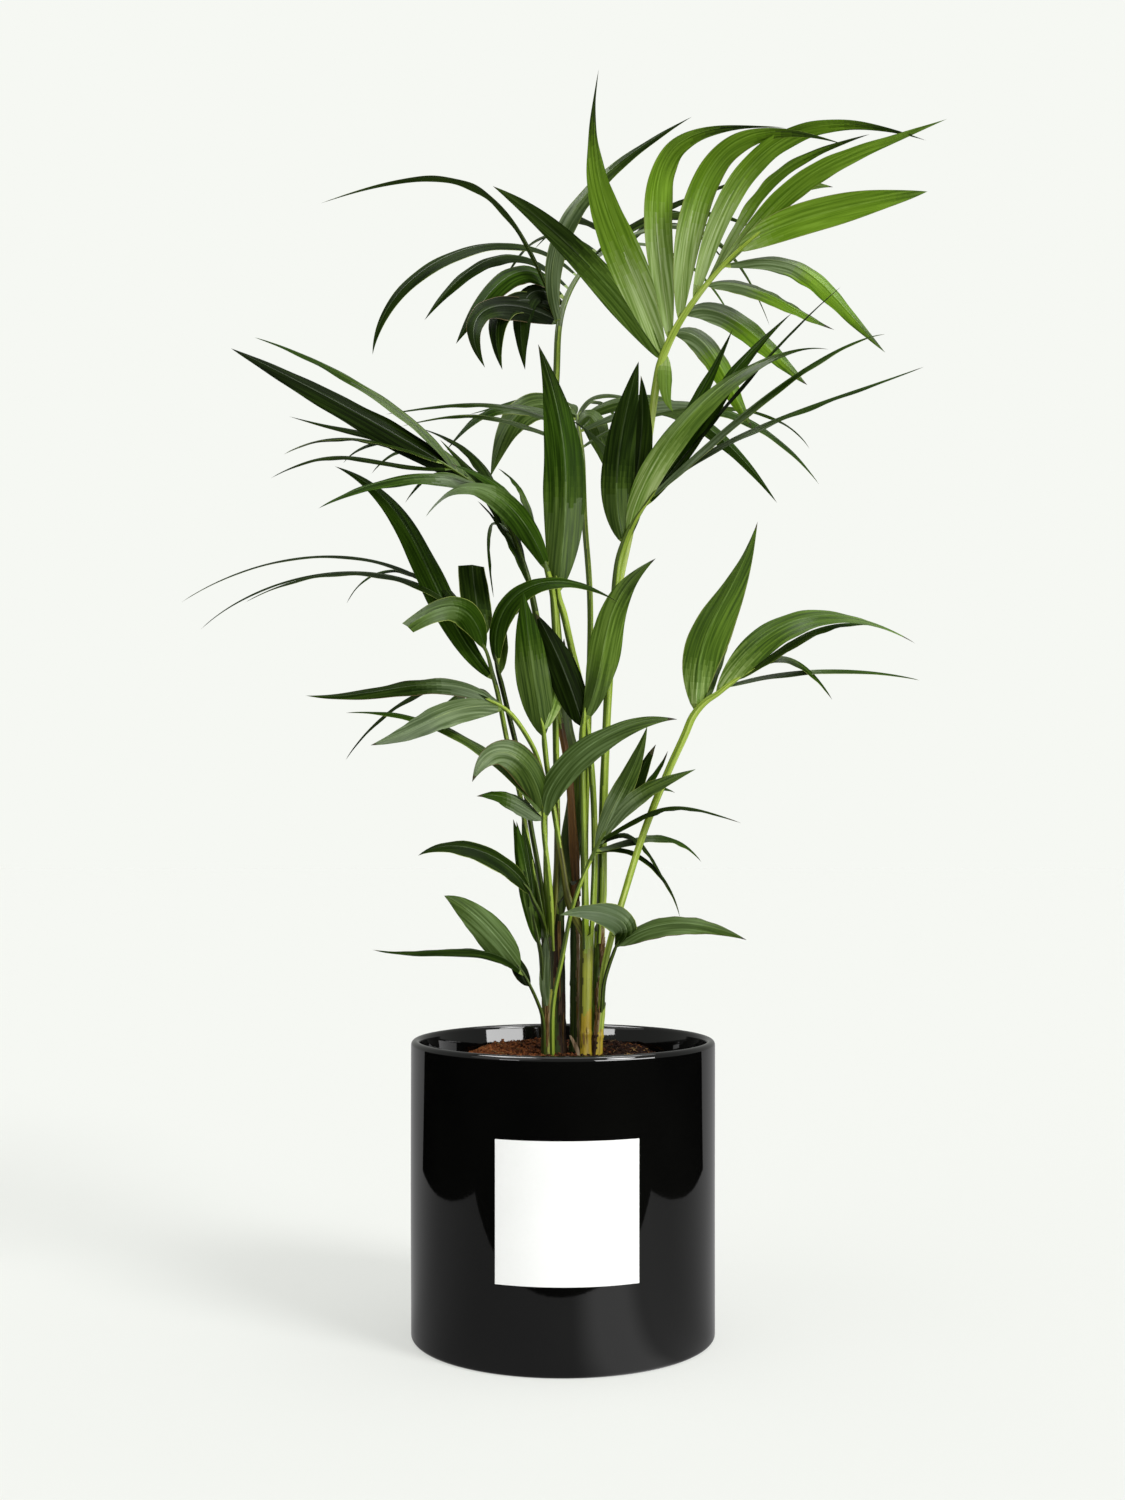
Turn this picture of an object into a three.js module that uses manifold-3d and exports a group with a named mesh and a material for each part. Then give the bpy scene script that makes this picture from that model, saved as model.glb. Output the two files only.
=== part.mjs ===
// A young kentia palm: several canes and nineteen fronds in a glazed cylinder pot.
// Millimetres, +Z up. The origin is the centre of the pot's flat underside and the
// pot's axis is Z. The front, where the label is, faces -Y.
import * as THREE from "three";
import Module from "manifold-3d";

const wasm = await Module();
wasm.setup();

// Running gap between neighbouring solids.
const GAP = 0.3;

// Glazed pot.
const POT_RADIUS = 140;
const POT_HEIGHT = 273;
const POT_WALL = 8.5;
const POT_FLOOR = 12;
const POT_FOOT_ROUND = 4;
const POT_SIDES = 60;

// Bare paper label, wrapped on the front of the pot.
const LABEL_WIDTH = 127;
const LABEL_BOTTOM = 78;
const LABEL_HEIGHT = 123.5;
const LABEL_THICKNESS = 0.6;
const LABEL_SHIFT = 4;
const LABEL_SEGMENTS = 14;

// Root ball and potting mix that fill the pot.
const SOIL_TOP = 258;
const SOIL_DISH_RADIUS = 36;
const SOIL_RIDGE = 265;
const SOIL_RIDGE_RADIUS = 70;
const SOIL_SHOULDER_RADIUS = 96;
const SOIL_EDGE = 238;
const SOIL_CRUMBLE = 4;
const SOIL_ROUND = 8;

// Front elevation through the pot's axis, as it lines up from an eye that stands
// EYE_DISTANCE in front of the axis, EYE_HEIGHT up.
const EYE_DISTANCE = 1637;
const EYE_HEIGHT = 454;

// Leaf blades.
const BLADE_THICKNESS = 2.2;
const BLADE_SLENDERNESS = 0.0115;
const BLADE_FOLD = 0.1;
const BLADE_BROADEST = 0.38;
const BLADE_ROOT_WIDTH = 3;
const BLADE_STATIONS = [0, 0.12, 0.32, 0.56, 0.8, 1];
// How a blade's width grows to its broadest place, and how it falls away past it.
const BLADE_RISE = 0.75;
const BLADE_TAPER = 1.8;
// Share of a blade over which its own way is measured, and least turn of a sweep in radians.
const WAY_SPAN = 0.02;
const LEAST_TURN = 0.02;
// Share of a blade over which a bend is measured, and how much of the bend's radius the
// blade's inner half may fill.
const BEND_SPAN = 0.1;
const BEND_FILL = 0.7;
const STALK_SIDES = 6;
const STALK_STEP = 55;
const RIB_STEP = 30;
const LEAST_STEPS = 2;
const CANE_SIDES = 12;
const CANE_STEPS = 3;
// Deviation in mm that a joined frond's mesh is cleaned to, and the least edge length and
// face height that are left in it.
const JOIN_TOLERANCE = 0.02;
const LEAST_EDGE = 0.05;
const LEAST_FACE = 0.02;
const SPLINTER_PASSES = 3;

const COLOURS = {
  dark: "#24370f",
  mid: "#3c5a1e",
  light: "#547a2a",
  lime: "#7fa63c",
  grey: "#5c7548",
  stalk: "#93ad3a",
};

// Canes: foot [x, depth] on the soil, top [x, z, depth] on the elevation, radii [foot, top].
const CANES = [
  { name: "cane_left", foot: [-15, -8], top: [-14, 370, -10], radii: [3.9, 6], colour: "#5f6b2b" },
  { name: "cane_dark", foot: [-4, 9], top: [-4, 402, 9], radii: [7, 5.2], colour: "#39401c" },
  { name: "cane_brown", foot: [11, 14], top: [11, 420, 12], radii: [4.6, 4.2], colour: "#4a3422" },
  { name: "cane_yellow", foot: [20, -9], top: [22, 372, -7], radii: [5.4, 6.4], colour: "#8d8c2c" },
  { name: "cane_papery", foot: [29, 14], top: [34, 377, 12], radii: [4.6, 5], colour: "#7b5b3c" },
  { name: "cane_right", foot: [31, -6], top: [35, 302, -6], radii: [4.4, 4.6], colour: "#a3972f" },
];

// Fronds. stalk and rib are [x, z, depth] on the elevation; the stalk's first point stands
// on the cane it grows from, or on the soil, and its last is where the rib starts.
// radii are at the stalk's foot, the rib's start and the rib's end.
// Each leaflet is [place along the rib from 0 to 1, tip x, tip z, tip depth,
//   heading where it leaves the rib, heading at its tip (degrees, 0 is +X, 90 is up),
//   fullness of its sweep, broadest width, turn, twist, blunt end].
// A turn of 0 shows its upper side to the front, 90 lays it flat, 180 shows its underside.
const FRONDS = [
  {
    name: "crown_right", tone: "lime", radii: [2.3, 2.4, 1],
    stalk: [[36, 374, 14.5], [37, 467, 17], [40, 559, 18], [46, 661, 17], [62, 744, 12], [77, 818, 2],
      [86, 878, -8], [90, 897, -12]],
    rib: [[90, 897, -12], [104, 929, -22], [127, 963, -34], [152, 992, -46], [182, 1019, -58]],
    leaflets: [
      [0.05, 33, 1169, -50, 108, 82, 1.3, 36, 175, -75],
      [0.03, -65, 1061, 10, 122, 150, 0.9, 26, 150, 20],
      [0.04, -5, 992, 40, 125, 200, 0.9, 18, 120, 0],
      [0.15, 205, 1115, -70, 97, 355, 1.6, 30, 190, -110],
      [0.28, 261, 1099, -90, 88, 340, 1.4, 28, 190, -105],
      [0.43, 336, 1103, -95, 78, 340, 1.3, 22, 180, -85],
      [0.52, 284, 1109, -70, 62, 15, 1.4, 18, 118, 0],
      [0.66, 355, 1123, -100, 52, 20, 1.5, 22, 150, -30],
      [0.83, 337, 1056, -90, 40, 10, 0.8, 28, 165, -10],
      [0.7, 298, 907, -60, 14, 315, 1.4, 26, 45, -30],
      [0.55, 251, 928, -50, 12, 335, 1, 24, 38, 10],
      [0.33, 226, 877, -36, 28, 320, 0.9, 25, 18, 0],
      [0.2, 175, 838, -28, 12, 305, 0.9, 24, 15, 0],
      [0.07, 102, 852, -16, 280, 305, 1, 14, 20, 0],
      [0.9, 250, 1060, 40, 60, 350, 1.3, 20, 120, 0],
    ],
  },
  {
    name: "crown_left", tone: "dark", radii: [2.2, 2, 0.9],
    stalk: [[-1, 404, 10], [4, 428, 17], [8, 460, 21], [13, 509, 24], [3, 559, 27], [-6, 652, 31],
      [-12, 753, 37], [-10, 818, 41], [-6, 887, 47], [-4, 929, 52]],
    rib: [[-4, 929, 52], [3, 957, 75], [20, 986, 115], [40, 1005, 160], [64, 1010, 210]],
    leaflets: [
      [0.02, 119, 1125, -20, 108, 28, 1.1, 20, 15, 20],
      [0.05, -224, 1045, 60, 110, 200, 1.5, 18, 94, 0],
      [0.36, -176, 905, 130, 130, 265, 0.9, 25, 75, -58],
      [0.25, -128, 937, 90, 130, 235, 1.3, 23, 75, -58],
      [0.18, -99, 915, 50, 125, 240, 1.4, 30, 55, -50],
      [0.04, -72, 893, 0, 150, 300, 1.5, 34, 20, 30],
      [0.1, -56, 891, 20, 150, 288, 1.5, 30, 25, 10],
      [0.15, -35, 891, 36, 140, 280, 1.5, 28, 30, 0],
      [0.55, 175, 1071, 120, 55, 20, 0.8, 18, 92, 0],
      [0.67, 189, 1013, 150, 45, 320, 1, 18, 90, 0],
      [0.78, 191, 932, 190, 30, 290, 1.3, 22, 80, 0],
      [0.45, 159, 929, 90, 50, 288, 1, 22, 70, 0],
      [0.9, 154, 984, 300, 40, 300, 1.2, 22, 80, 0],
      [0.97, 140, 1021, 330, 55, 330, 1.3, 22, 90, 0],
      [0.83, -26, 1003, 290, 130, 230, 1.4, 22, 80, 0],
      [0.62, -60, 960, 240, 140, 250, 1.3, 22, 70, 0],
    ],
  },
  {
    name: "upper_left", tone: "dark", radii: [2.5, 2.2, 0.9],
    stalk: [[12, 421, 12], [9, 467, 8], [5, 522, 8], [-6, 580, 5], [-16, 619, 1], [-25, 666, -5]],
    rib: [[-25, 666, -5], [-32, 698, -10], [-42, 728, -16], [-54, 754, -24], [-69, 775, -32],
      [-91, 792, -40], [-114, 807, -48]],
    leaflets: [
      [0.8, -307, 911, -90, 145, 155, 0.8, 28, 25, 10],
      [0.88, -285, 921, -50, 118, 165, 0.8, 20, 60, 0],
      [0.57, -253, 848, -30, 130, 165, 1.4, 20, 52, 0],
      [0.98, -258, 813, -80, 160, 210, 1.1, 20, 82, 0],
      [0.92, -270, 791, -100, 180, 210, 1.4, 20, 84, 0],
      [0.53, -226, 763, -120, 112, 212, 0.9, 22, 48, 0],
      [0.84, -203, 805, -20, 105, 235, 0.8, 18, 60, 0],
      [0.75, -177, 795, 0, 130, 235, 1.2, 18, 60, 0],
      [0.67, -146, 768, -70, 140, 240, 1.4, 18, 60, 0],
      [0.42, -64, 680, -10, 130, 280, 1.5, 18, 78, 0],
      [0.16, -79, 770, -50, 108, 140, 1, 18, 75, 0],
      [0.2, -114, 827, 60, 105, 135, 1.4, 24, 50, 0],
      [0.34, -132, 837, 110, 110, 165, 1.3, 24, 60, 0],
    ],
  },
  {
    name: "upper_left_front", tone: "mid", radii: [1.9, 1.8, 0.9],
    stalk: [[-10.8, 372, -7.7], [-6, 421, -3], [-5, 467, -2], [-6, 522, -3], [-7, 587, -8], [-7, 643, -15],
      [-9, 680, -18], [-13, 700, -20]],
    rib: [[-13, 700, -20], [-18, 716, -22], [-25, 730, -25]],
    leaflets: [
      [0.2, -127, 755, -110, 108, 238, 1.2, 26, 5, 60],
      [0.7, -104, 804, -70, 112, 165, 1.2, 20, 50, 0],
      [0.9, -60, 800, 90, 100, 150, 1.2, 22, 70, 0],
    ],
  },
  {
    name: "upper_back", tone: "mid", radii: [2, 2, 0.9],
    stalk: [[22, 376, -2.5], [20, 421, 4], [20, 467, 8], [22, 522, 11], [24, 587, 14], [25, 680, 20],
      [20, 753, 38], [18, 807, 62]],
    rib: [[18, 807, 62], [16, 827, 90], [14, 841, 130], [13, 848, 170], [13, 846, 215]],
    leaflets: [
      [0.29, -164, 850, 90, 150, 190, 1.2, 20, 86, 0],
      [0.14, -149, 839, 70, 160, 195, 1.4, 16, 90, 0],
      [0.6, -108, 816, 130, 165, 235, 1.4, 22, 50, 0],
      [0.8, -67, 792, 170, 150, 255, 1.4, 32, 10, 0],
      [0.42, 46, 790, 110, 62, 288, 1.2, 28, 25, 0],
      [0.12, 228, 818, 60, 40, 300, 0.8, 16, 90, 0],
      [0.33, 237, 785, 85, 30, 305, 1.1, 22, 50, 0],
      [0.55, 198, 768, 110, 35, 305, 1.1, 24, 30, 0],
      [0.82, 117, 846, 240, 70, 345, 1.1, 24, 80, 0],
      [0.95, -86, 850, 290, 125, 195, 1.2, 24, 80, 0],
      [0.98, 71, 827, 320, 70, 315, 1.4, 24, 70, 0],
      [0.9, -17, 818, 330, 100, 250, 1.4, 24, 70, 0],
    ],
  },
  {
    name: "upper_right", tone: "dark", radii: [2.3, 2.6, 1],
    stalk: [[33, 378, 8], [35, 430, 7], [37, 504, 3], [41, 582, -3], [45, 643, -7], [51, 711, -12],
      [55, 726, -14]],
    rib: [[55, 726, -14], [66, 752, -22], [76, 767, -30], [85, 779, -38]],
    leaflets: [
      [0.08, 70, 899, -60, 110, 75, 0.9, 30, 8, 0],
      [0.14, 72, 886, -26, 80, 98, 0.9, 24, 30, 0],
      [0.22, 246, 910, -130, 82, 350, 0.8, 28, 15, 40],
      [0.72, 212, 944, -100, 52, 40, 1.3, 22, 42, 0],
      [0.6, 157, 929, -80, 68, 65, 1.3, 20, 40, 0],
      [0.83, 257, 968, -120, 50, 40, 1.1, 18, 84, 0],
      [0.9, 298, 924, -140, 45, 5, 0.7, 22, 66, 0],
      [0.96, 334, 894, -100, 46, 20, 0.9, 20, 78, 0],
      [0.35, 6, 846, 60, 105, 150, 1.4, 22, 60, 0],
    ],
  },
  {
    name: "centre_tall", tone: "dark", radii: [2, 2.2, 1],
    stalk: [[26.5, 377, -8], [29, 430, -5], [28, 495, -4], [24, 546, -4], [19, 587, -5], [8, 633, -8],
      [0, 668, -11], [-4, 680, -13]],
    rib: [[-4, 680, -13], [-5, 689, -15], [-6, 698, -17]],
    leaflets: [
      [0.3, -23, 915, -50, 84, 110, 1.2, 40, 6, 8],
    ],
  },
  {
    name: "left_dark", tone: "dark", radii: [1.9, 1.9, 0.9],
    stalk: [[-18, 372, -10], [-30, 439, -14], [-39, 495, -15], [-51, 546, -16], [-58, 582, -15],
      [-61, 596, -14]],
    rib: [[-61, 596, -14], [-65, 610, -15], [-70, 629, -17], [-77, 644, -19], [-84, 659, -22]],
    leaflets: [
      [0.15, -211, 802, 10, 135, 160, 1.1, 26, 20, 0],
      [0.5, -353, 676, 100, 112, 214, 1, 20, 88, 0],
      [0.7, -335, 651, 60, 116, 224, 0.9, 16, 90, 0],
      [0.82, -294, 676, 30, 125, 210, 1, 20, 80, 0],
      [0.9, -200, 675, 80, 120, 245, 1.1, 18, 70, 0],
      [0.58, -144, 654, -70, 105, 215, 1.5, 28, 20, 10, 0.55],
      [0.74, -84, 711, 10, 92, 94, 1, 28, 15, 0, 0.9],
      [0.96, -131, 687, 50, 125, 275, 1.4, 16, 60, 0],
    ],
  },
  {
    name: "left_arch", tone: "mid", radii: [1.9, 1.9, 1.2],
    stalk: [[-15.3, 372, -6.2], [-21, 421, -5], [-29, 467, -4], [-38, 522, -3], [-50, 573, -4],
      [-57, 602, -6]],
    rib: [[-57, 602, -6], [-60, 613, -8], [-63, 629, -10]],
    leaflets: [
      [0.6, 51, 676, -60, 100, 325, 1.2, 24, 20, 40],
      [0.3, -54, 676, 40, 82, 65, 1.3, 18, 40, 0],
      [0.8, -26, 664, 80, 92, 325, 1.2, 20, 60, 0],
    ],
  },
  {
    name: "lower_left", tone: "mid", radii: [1.5, 1.8, 1],
    stalk: [[-14, 372, -10], [-16, 421, -10], [-16, 467, -8], [-17, 504, -9], [-24, 534, -17],
      [-36, 557, -24], [-48, 573, -28]],
    rib: [[-48, 573, -28], [-58, 581, -31], [-69, 586, -34]],
    leaflets: [
      [0.2, -238, 590, -60, 140, 175, 1.2, 20, 38, 0],
      [0.35, -178, 544, -110, 170, 195, 1.2, 26, 22, 0],
      [0.85, -201, 530, 0, 130, 240, 0.9, 18, 84, 0],
      [0.65, -123, 559, 60, 130, 245, 1.2, 22, 60, 0],
    ],
  },
  {
    name: "centre_left_blade", tone: "mid", radii: [2, 2, 1.2],
    stalk: [[18, 376, -9], [6, 398, -12], [-1, 439, -13], [-10, 495, -14], [-15, 527, -15],
      [-17, 546, -17]],
    rib: [[-17, 546, -17], [-18, 558, -20], [-20, 567, -23]],
    leaflets: [
      [0.3, -37, 687, -60, 100, 96, 1.1, 32, 10, 0],
      [0.6, 1, 643, -16, 68, 88, 1, 17, 10, 0],
    ],
  },
  {
    name: "centre_bifid", tone: "mid", radii: [2, 2.4, 1.4],
    stalk: [[21, 374, -11.5], [20, 439, -14], [18, 513, -16], [17.5, 541, -17], [18, 557, -18]],
    rib: [[18, 557, -18], [19, 567, -20], [20, 576, -22]],
    leaflets: [
      [0.25, -25, 666, -26, 106, 120, 1, 30, 10, 0],
      [0.5, 86, 717, -70, 66, 35, 1.3, 30, 15, 0],
    ],
  },
  {
    name: "low_centre", tone: "mid", radii: [1.9, 1.8, 1],
    stalk: [[-10.8, 371, -12.4], [-13, 421, -18], [-17, 458, -20], [-18, 471, -21]],
    rib: [[-18, 471, -21], [-18, 481, -23], [-19, 490, -25]],
    leaflets: [
      [0.2, 106, 568, -80, 94, 352, 0.8, 28, 15, 30],
      [0.6, -84, 510, -80, 98, 250, 1.4, 30, 15, 0],
      [0.4, -201, 574, -60, 120, 185, 1, 18, 60, 0],
      [0.25, -80, 497, -52, 150, 190, 1.2, 20, 40, 0],
    ],
  },
  {
    name: "low_left_blade", tone: "dark", radii: [1.5, 1.5, 1],
    stalk: [[-15.3, 371, -13.8], [-21, 388, -23], [-28, 402, -29]],
    rib: [[-28, 402, -29], [-31, 410, -32], [-35, 415, -35]],
    leaflets: [
      [0.35, -134, 442, -70, 116, 214, 0.9, 22, 42, 0],
    ],
  },
  {
    name: "spears", tone: "dark", radii: [1.4, 1.6, 1.2],
    stalk: [[-19.6, 336, -14.6], [-20.2, 350, -15.6]],
    rib: [[-20.2, 350, -15.6], [-22.5, 362, -16.6], [-25, 374, -17.6], [-27.5, 386, -18.6]],
    leaflets: [
      [0.3, -46, 476, -22, 100, 103, 1, 12, 20, 0],
      [0.55, -43, 474, -26, 98, 102, 1, 12, 25, 0],
      [0.85, -38, 476, -23, 90, 100, 1, 12, 30, 0],
    ],
  },
  {
    name: "foot_left", tone: "mid", radii: [1.6, 1.4, 1],
    stalk: [[-18, 262, -19], [-19, 293, -26], [-24, 308, -31], [-30, 321, -36]],
    rib: [[-30, 321, -36], [-36, 332, -39], [-42, 341, -42]],
    leaflets: [
      [0.85, -110, 405, -70, 122, 160, 0.8, 30, 20, 0],
      [0.55, -176, 355, -110, 132, 170, 1.1, 18, 70, 0],
      [0.05, -52, 356, -45, 120, 128, 1, 15, 30, 0],
    ],
  },
  {
    name: "low_right_fan", tone: "grey", radii: [1.6, 1.5, 0.9],
    stalk: [[-10, 262, -24], [-9, 305, -27], [0, 351, -28], [8, 391, -28], [18, 421, -27], [25, 437, -27]],
    rib: [[25, 437, -27], [32, 452, -29], [42, 469, -31], [51, 484, -33]],
    leaflets: [
      [0.25, 78, 562, -50, 70, 75, 1.2, 20, 15, 0],
      [0.84, 86, 545, -36, 48, 56, 1, 18, 40, 0],
      [0.72, 97, 539, -26, 50, 68, 0.9, 14, 60, 0],
      [0.5, 123, 522, -70, 60, 20, 1.2, 18, 32, 0],
      [0.4, 165, 472, -60, 32, 340, 1.5, 18, 76, 0],
      [0.3, 97, 412, 30, 40, 295, 1.3, 16, 72, 0],
      [0.15, 108, 385, 60, 25, 280, 1, 16, 72, 0],
      [0.2, 128, 436, 84, 18, 305, 1.2, 20, 70, 0],
      [0.62, 104, 500, 70, 50, 330, 1.3, 20, 60, 0],
    ],
  },
  {
    name: "right_tall", tone: "light", radii: [2, 2.4, 0.9],
    stalk: [[34, 303, -3.4], [37, 333, -6], [43, 361, -10], [53, 395, -14], [74, 462, -24], [94, 513, -32],
      [113, 555, -40], [120, 571, -44]],
    rib: [[120, 571, -44], [131, 584, -48], [143, 592, -52], [157, 603, -56], [175, 614, -62]],
    leaflets: [
      [0.08, 180, 751, -60, 92, 74, 1.4, 40, 10, 0],
      [0.43, 326, 638, -120, 60, 328, 1.2, 34, 20, 60],
      [0.76, 297, 654, -90, 34, 350, 1.3, 20, 68, 0],
      [0.97, 249, 586, -30, 45, 300, 1.2, 20, 68, 0],
      [0.6, 330, 604, -10, 20, 345, 0.9, 16, 80, 0],
      [0.26, 165, 680, 30, 80, 60, 1.4, 20, 50, 0],
    ],
  },
  {
    name: "foot_right", tone: "grey", radii: [1.8, 1.8, 1.2],
    stalk: [[36.5, 303, -8.4], [38, 324, -13], [43, 342, -17], [47, 353, -20]],
    rib: [[47, 353, -20], [49, 358, -22], [51, 362, -24]],
    leaflets: [
      [0.5, -3, 387, -66, 36, 198, 1.1, 30, 25, 20],
      [0.7, 170, 364, -60, 36, 335, 1.1, 24, 45, 0],
    ],
  },
];

const group = new THREE.Group();

// Slides a point of the elevation along its line of sight to its own depth.
function placed([x, z, depth]) {
  const reach = (EYE_DISTANCE + depth) / EYE_DISTANCE;
  return new THREE.Vector3(x * reach, depth, EYE_HEIGHT + (z - EYE_HEIGHT) * reach);
}

function add(name, geometry, colour, roughness = 0.5) {
  const material = new THREE.MeshStandardMaterial({ color: colour, roughness, metalness: 0 });
  const mesh = new THREE.Mesh(geometry, material);
  mesh.name = name;
  group.add(mesh);
}

// Closed skin over rings of points; a ring with one point is a pointed end. Neighbouring
// panels are split the opposite way, so that the two skins of a twisted blade stay apart.
function skin(rings) {
  const points = rings.flat();
  const starts = [];
  let count = 0;
  for (const ring of rings) {
    starts.push(count);
    count += ring.length;
  }
  const faces = [];
  for (let r = 0; r + 1 < rings.length; r += 1) {
    const sides = rings[r].length;
    for (let i = 0; i < sides; i += 1) {
      const j = (i + 1) % sides;
      const [a, b] = [starts[r] + i, starts[r] + j];
      if (rings[r + 1].length === 1) {
        faces.push(a, b, starts[r + 1]);
      } else {
        const [c, d] = [starts[r + 1] + i, starts[r + 1] + j];
        if (i % 2 === 0) faces.push(a, b, d, a, d, c);
        else faces.push(a, b, c, b, d, c);
      }
    }
  }
  for (let i = 1; i + 1 < rings[0].length; i += 1) {
    faces.push(starts[0], starts[0] + i + 1, starts[0] + i);
  }
  const last = rings.length - 1;
  for (let i = 1; i + 1 < rings[last].length; i += 1) {
    faces.push(starts[last], starts[last] + i, starts[last] + i + 1);
  }
  return shell(points, enclosed(points, faces) < 0 ? turnedInsideOut(faces) : faces);
}

function shell(points, faces) {
  const places = points.flatMap((point) => point.toArray());
  const geometry = new THREE.BufferGeometry();
  geometry.setAttribute("position", new THREE.Float32BufferAttribute(places, 3));
  geometry.setIndex(faces);
  return geometry;
}

// Six times the volume inside the faces, positive when they point outwards.
function enclosed(points, faces) {
  let sum = 0;
  for (let i = 0; i < faces.length; i += 3) {
    const [a, b, c] = [points[faces[i]], points[faces[i + 1]], points[faces[i + 2]]];
    sum += a.dot(new THREE.Vector3().crossVectors(b, c));
  }
  return sum;
}

function turnedInsideOut(faces) {
  const turned = [];
  for (let i = 0; i < faces.length; i += 3) {
    turned.push(faces[i], faces[i + 2], faces[i + 1]);
  }
  return turned;
}

// Ring of a tube round centre, square to along.
function tubeRing(centre, along, radius, sides) {
  const right = new THREE.Vector3(1, 0, 0).addScaledVector(along, -along.x).normalize();
  const front = new THREE.Vector3().crossVectors(along, right);
  const ring = [];
  for (let i = 0; i < sides; i += 1) {
    const angle = (2 * Math.PI * i) / sides;
    ring.push(centre.clone()
      .addScaledVector(right, radius * Math.cos(angle))
      .addScaledVector(front, radius * Math.sin(angle)));
  }
  return ring;
}

// Stations of a tapering tube along the curve: its own ways at both ends are given, so
// that it meets a level seat or the next tube squarely.
function stations(curve, radii, step, startWay, endWay) {
  const steps = Math.max(LEAST_STEPS, Math.round(curve.getLength() / step));
  const rings = [];
  for (let i = 0; i <= steps; i += 1) {
    const share = i / steps;
    const along = i === 0 ? startWay : i === steps ? endWay : curve.getTangentAt(share);
    const radius = THREE.MathUtils.lerp(radii[0], radii[1], share);
    rings.push(tubeRing(curve.getPointAt(share), along, radius, STALK_SIDES));
  }
  return rings;
}

// Share of the full width that a blade has at share t of its length.
function bladeWidth(t, width, blunt) {
  const root = BLADE_ROOT_WIDTH / width;
  if (t < BLADE_BROADEST) {
    return root + (1 - root) * Math.sin((Math.PI / 2) * (t / BLADE_BROADEST) ** BLADE_RISE);
  }
  const past = (t - BLADE_BROADEST) / (1 - BLADE_BROADEST);
  return 1 - (1 - blunt) * past ** BLADE_TAPER;
}

// Handle of a cubic curve that turns through `turn` radians over a chord, as on a round arc.
function arcHandle(chord, turn) {
  const angle = Math.max(Math.abs(turn), LEAST_TURN);
  return (chord * (2 / 3) * Math.tan(angle / 4)) / Math.sin(angle / 2);
}

// Centre line of a leaflet on the elevation, from its base to its tip.
function sweepLine(base, [, x, z, depth, leave, arrive, sweep]) {
  const [from, to] = [THREE.MathUtils.degToRad(leave), THREE.MathUtils.degToRad(arrive)];
  const turn = Math.atan2(Math.sin(to - from), Math.cos(to - from));
  const handle = sweep * arcHandle(Math.hypot(x - base[0], z - base[1]), turn);
  const drift = (depth - base[2]) / 3;
  const start = new THREE.Vector3(...base);
  const end = new THREE.Vector3(x, z, depth);
  const ahead = new THREE.Vector3(handle * Math.cos(from), handle * Math.sin(from), drift);
  const behind = new THREE.Vector3(handle * Math.cos(to), handle * Math.sin(to), drift);
  return new THREE.CubicBezierCurve3(start, start.clone().add(ahead), end.clone().sub(behind), end);
}

// Way a blade's upper side faces, at share t along it.
function bladeFacing(along, row, side, t) {
  const [turn, twist] = [row[8], row[9]];
  const angle = THREE.MathUtils.degToRad(turn + twist * t);
  const front = new THREE.Vector3(0, -1, 0).addScaledVector(along, along.y).normalize();
  const over = new THREE.Vector3().crossVectors(front, along).multiplyScalar(side);
  return front.multiplyScalar(Math.cos(angle)).addScaledVector(over, Math.sin(angle));
}

// Reaches of a blade's two edges across its centre line. Inside a bend the edge stays short
// of the bend's middle, as it would fold back through itself there.
function edgeReaches(at, across, t, half) {
  const [before, centre, after] = [t - BEND_SPAN, t, t + BEND_SPAN].map(at);
  const step = after.distanceTo(before) / 2;
  const bend = after.add(before).addScaledVector(centre, -2).dot(across) / step ** 2;
  const inner = Math.min(half, BEND_FILL / Math.abs(bend));
  return bend < 0 ? [inner, half] : [half, inner];
}

// Solid leaflet: a folded lens section that widens from the rib and runs out to a point.
function blade(base, row) {
  const line = sweepLine(base, row);
  const [width, blunt] = [row[7], row[10] ?? 0];
  const side = row[1] >= base[0] ? 1 : -1;
  const at = (t) => placed(line.getPoint(t).toArray());
  const steps = BLADE_STATIONS.slice(1);
  const reach = steps.reduce((sum, t, i) => sum + at(t).distanceTo(at(BLADE_STATIONS[i])), 0);
  const thick = Math.max(BLADE_THICKNESS, BLADE_SLENDERNESS * reach) / 2;
  const rings = BLADE_STATIONS.map((t) => {
    const centre = at(t);
    if (t === 1 && blunt === 0) return [centre];
    const along = at(t + WAY_SPAN).sub(at(t - WAY_SPAN)).normalize();
    const facing = bladeFacing(along, row, side, t);
    const across = new THREE.Vector3().crossVectors(along, facing);
    const half = (width * bladeWidth(t, width, blunt)) / 2;
    const [left, right] = edgeReaches(at, across, t, half);
    const [leftFold, rightFold] = [2 * BLADE_FOLD * left, 2 * BLADE_FOLD * right];
    return [[-left, -leftFold], [0, thick], [right, -rightFold], [0, -thick]]
      .map(([u, v]) => centre.clone().addScaledVector(across, u).addScaledVector(facing, v));
  });
  return skin(rings);
}

function toManifold(geometry) {
  return new wasm.Manifold(new wasm.Mesh({
    numProp: 3,
    vertProperties: new Float32Array(geometry.attributes.position.array),
    triVerts: new Uint32Array(geometry.index.array),
  }));
}

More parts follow.
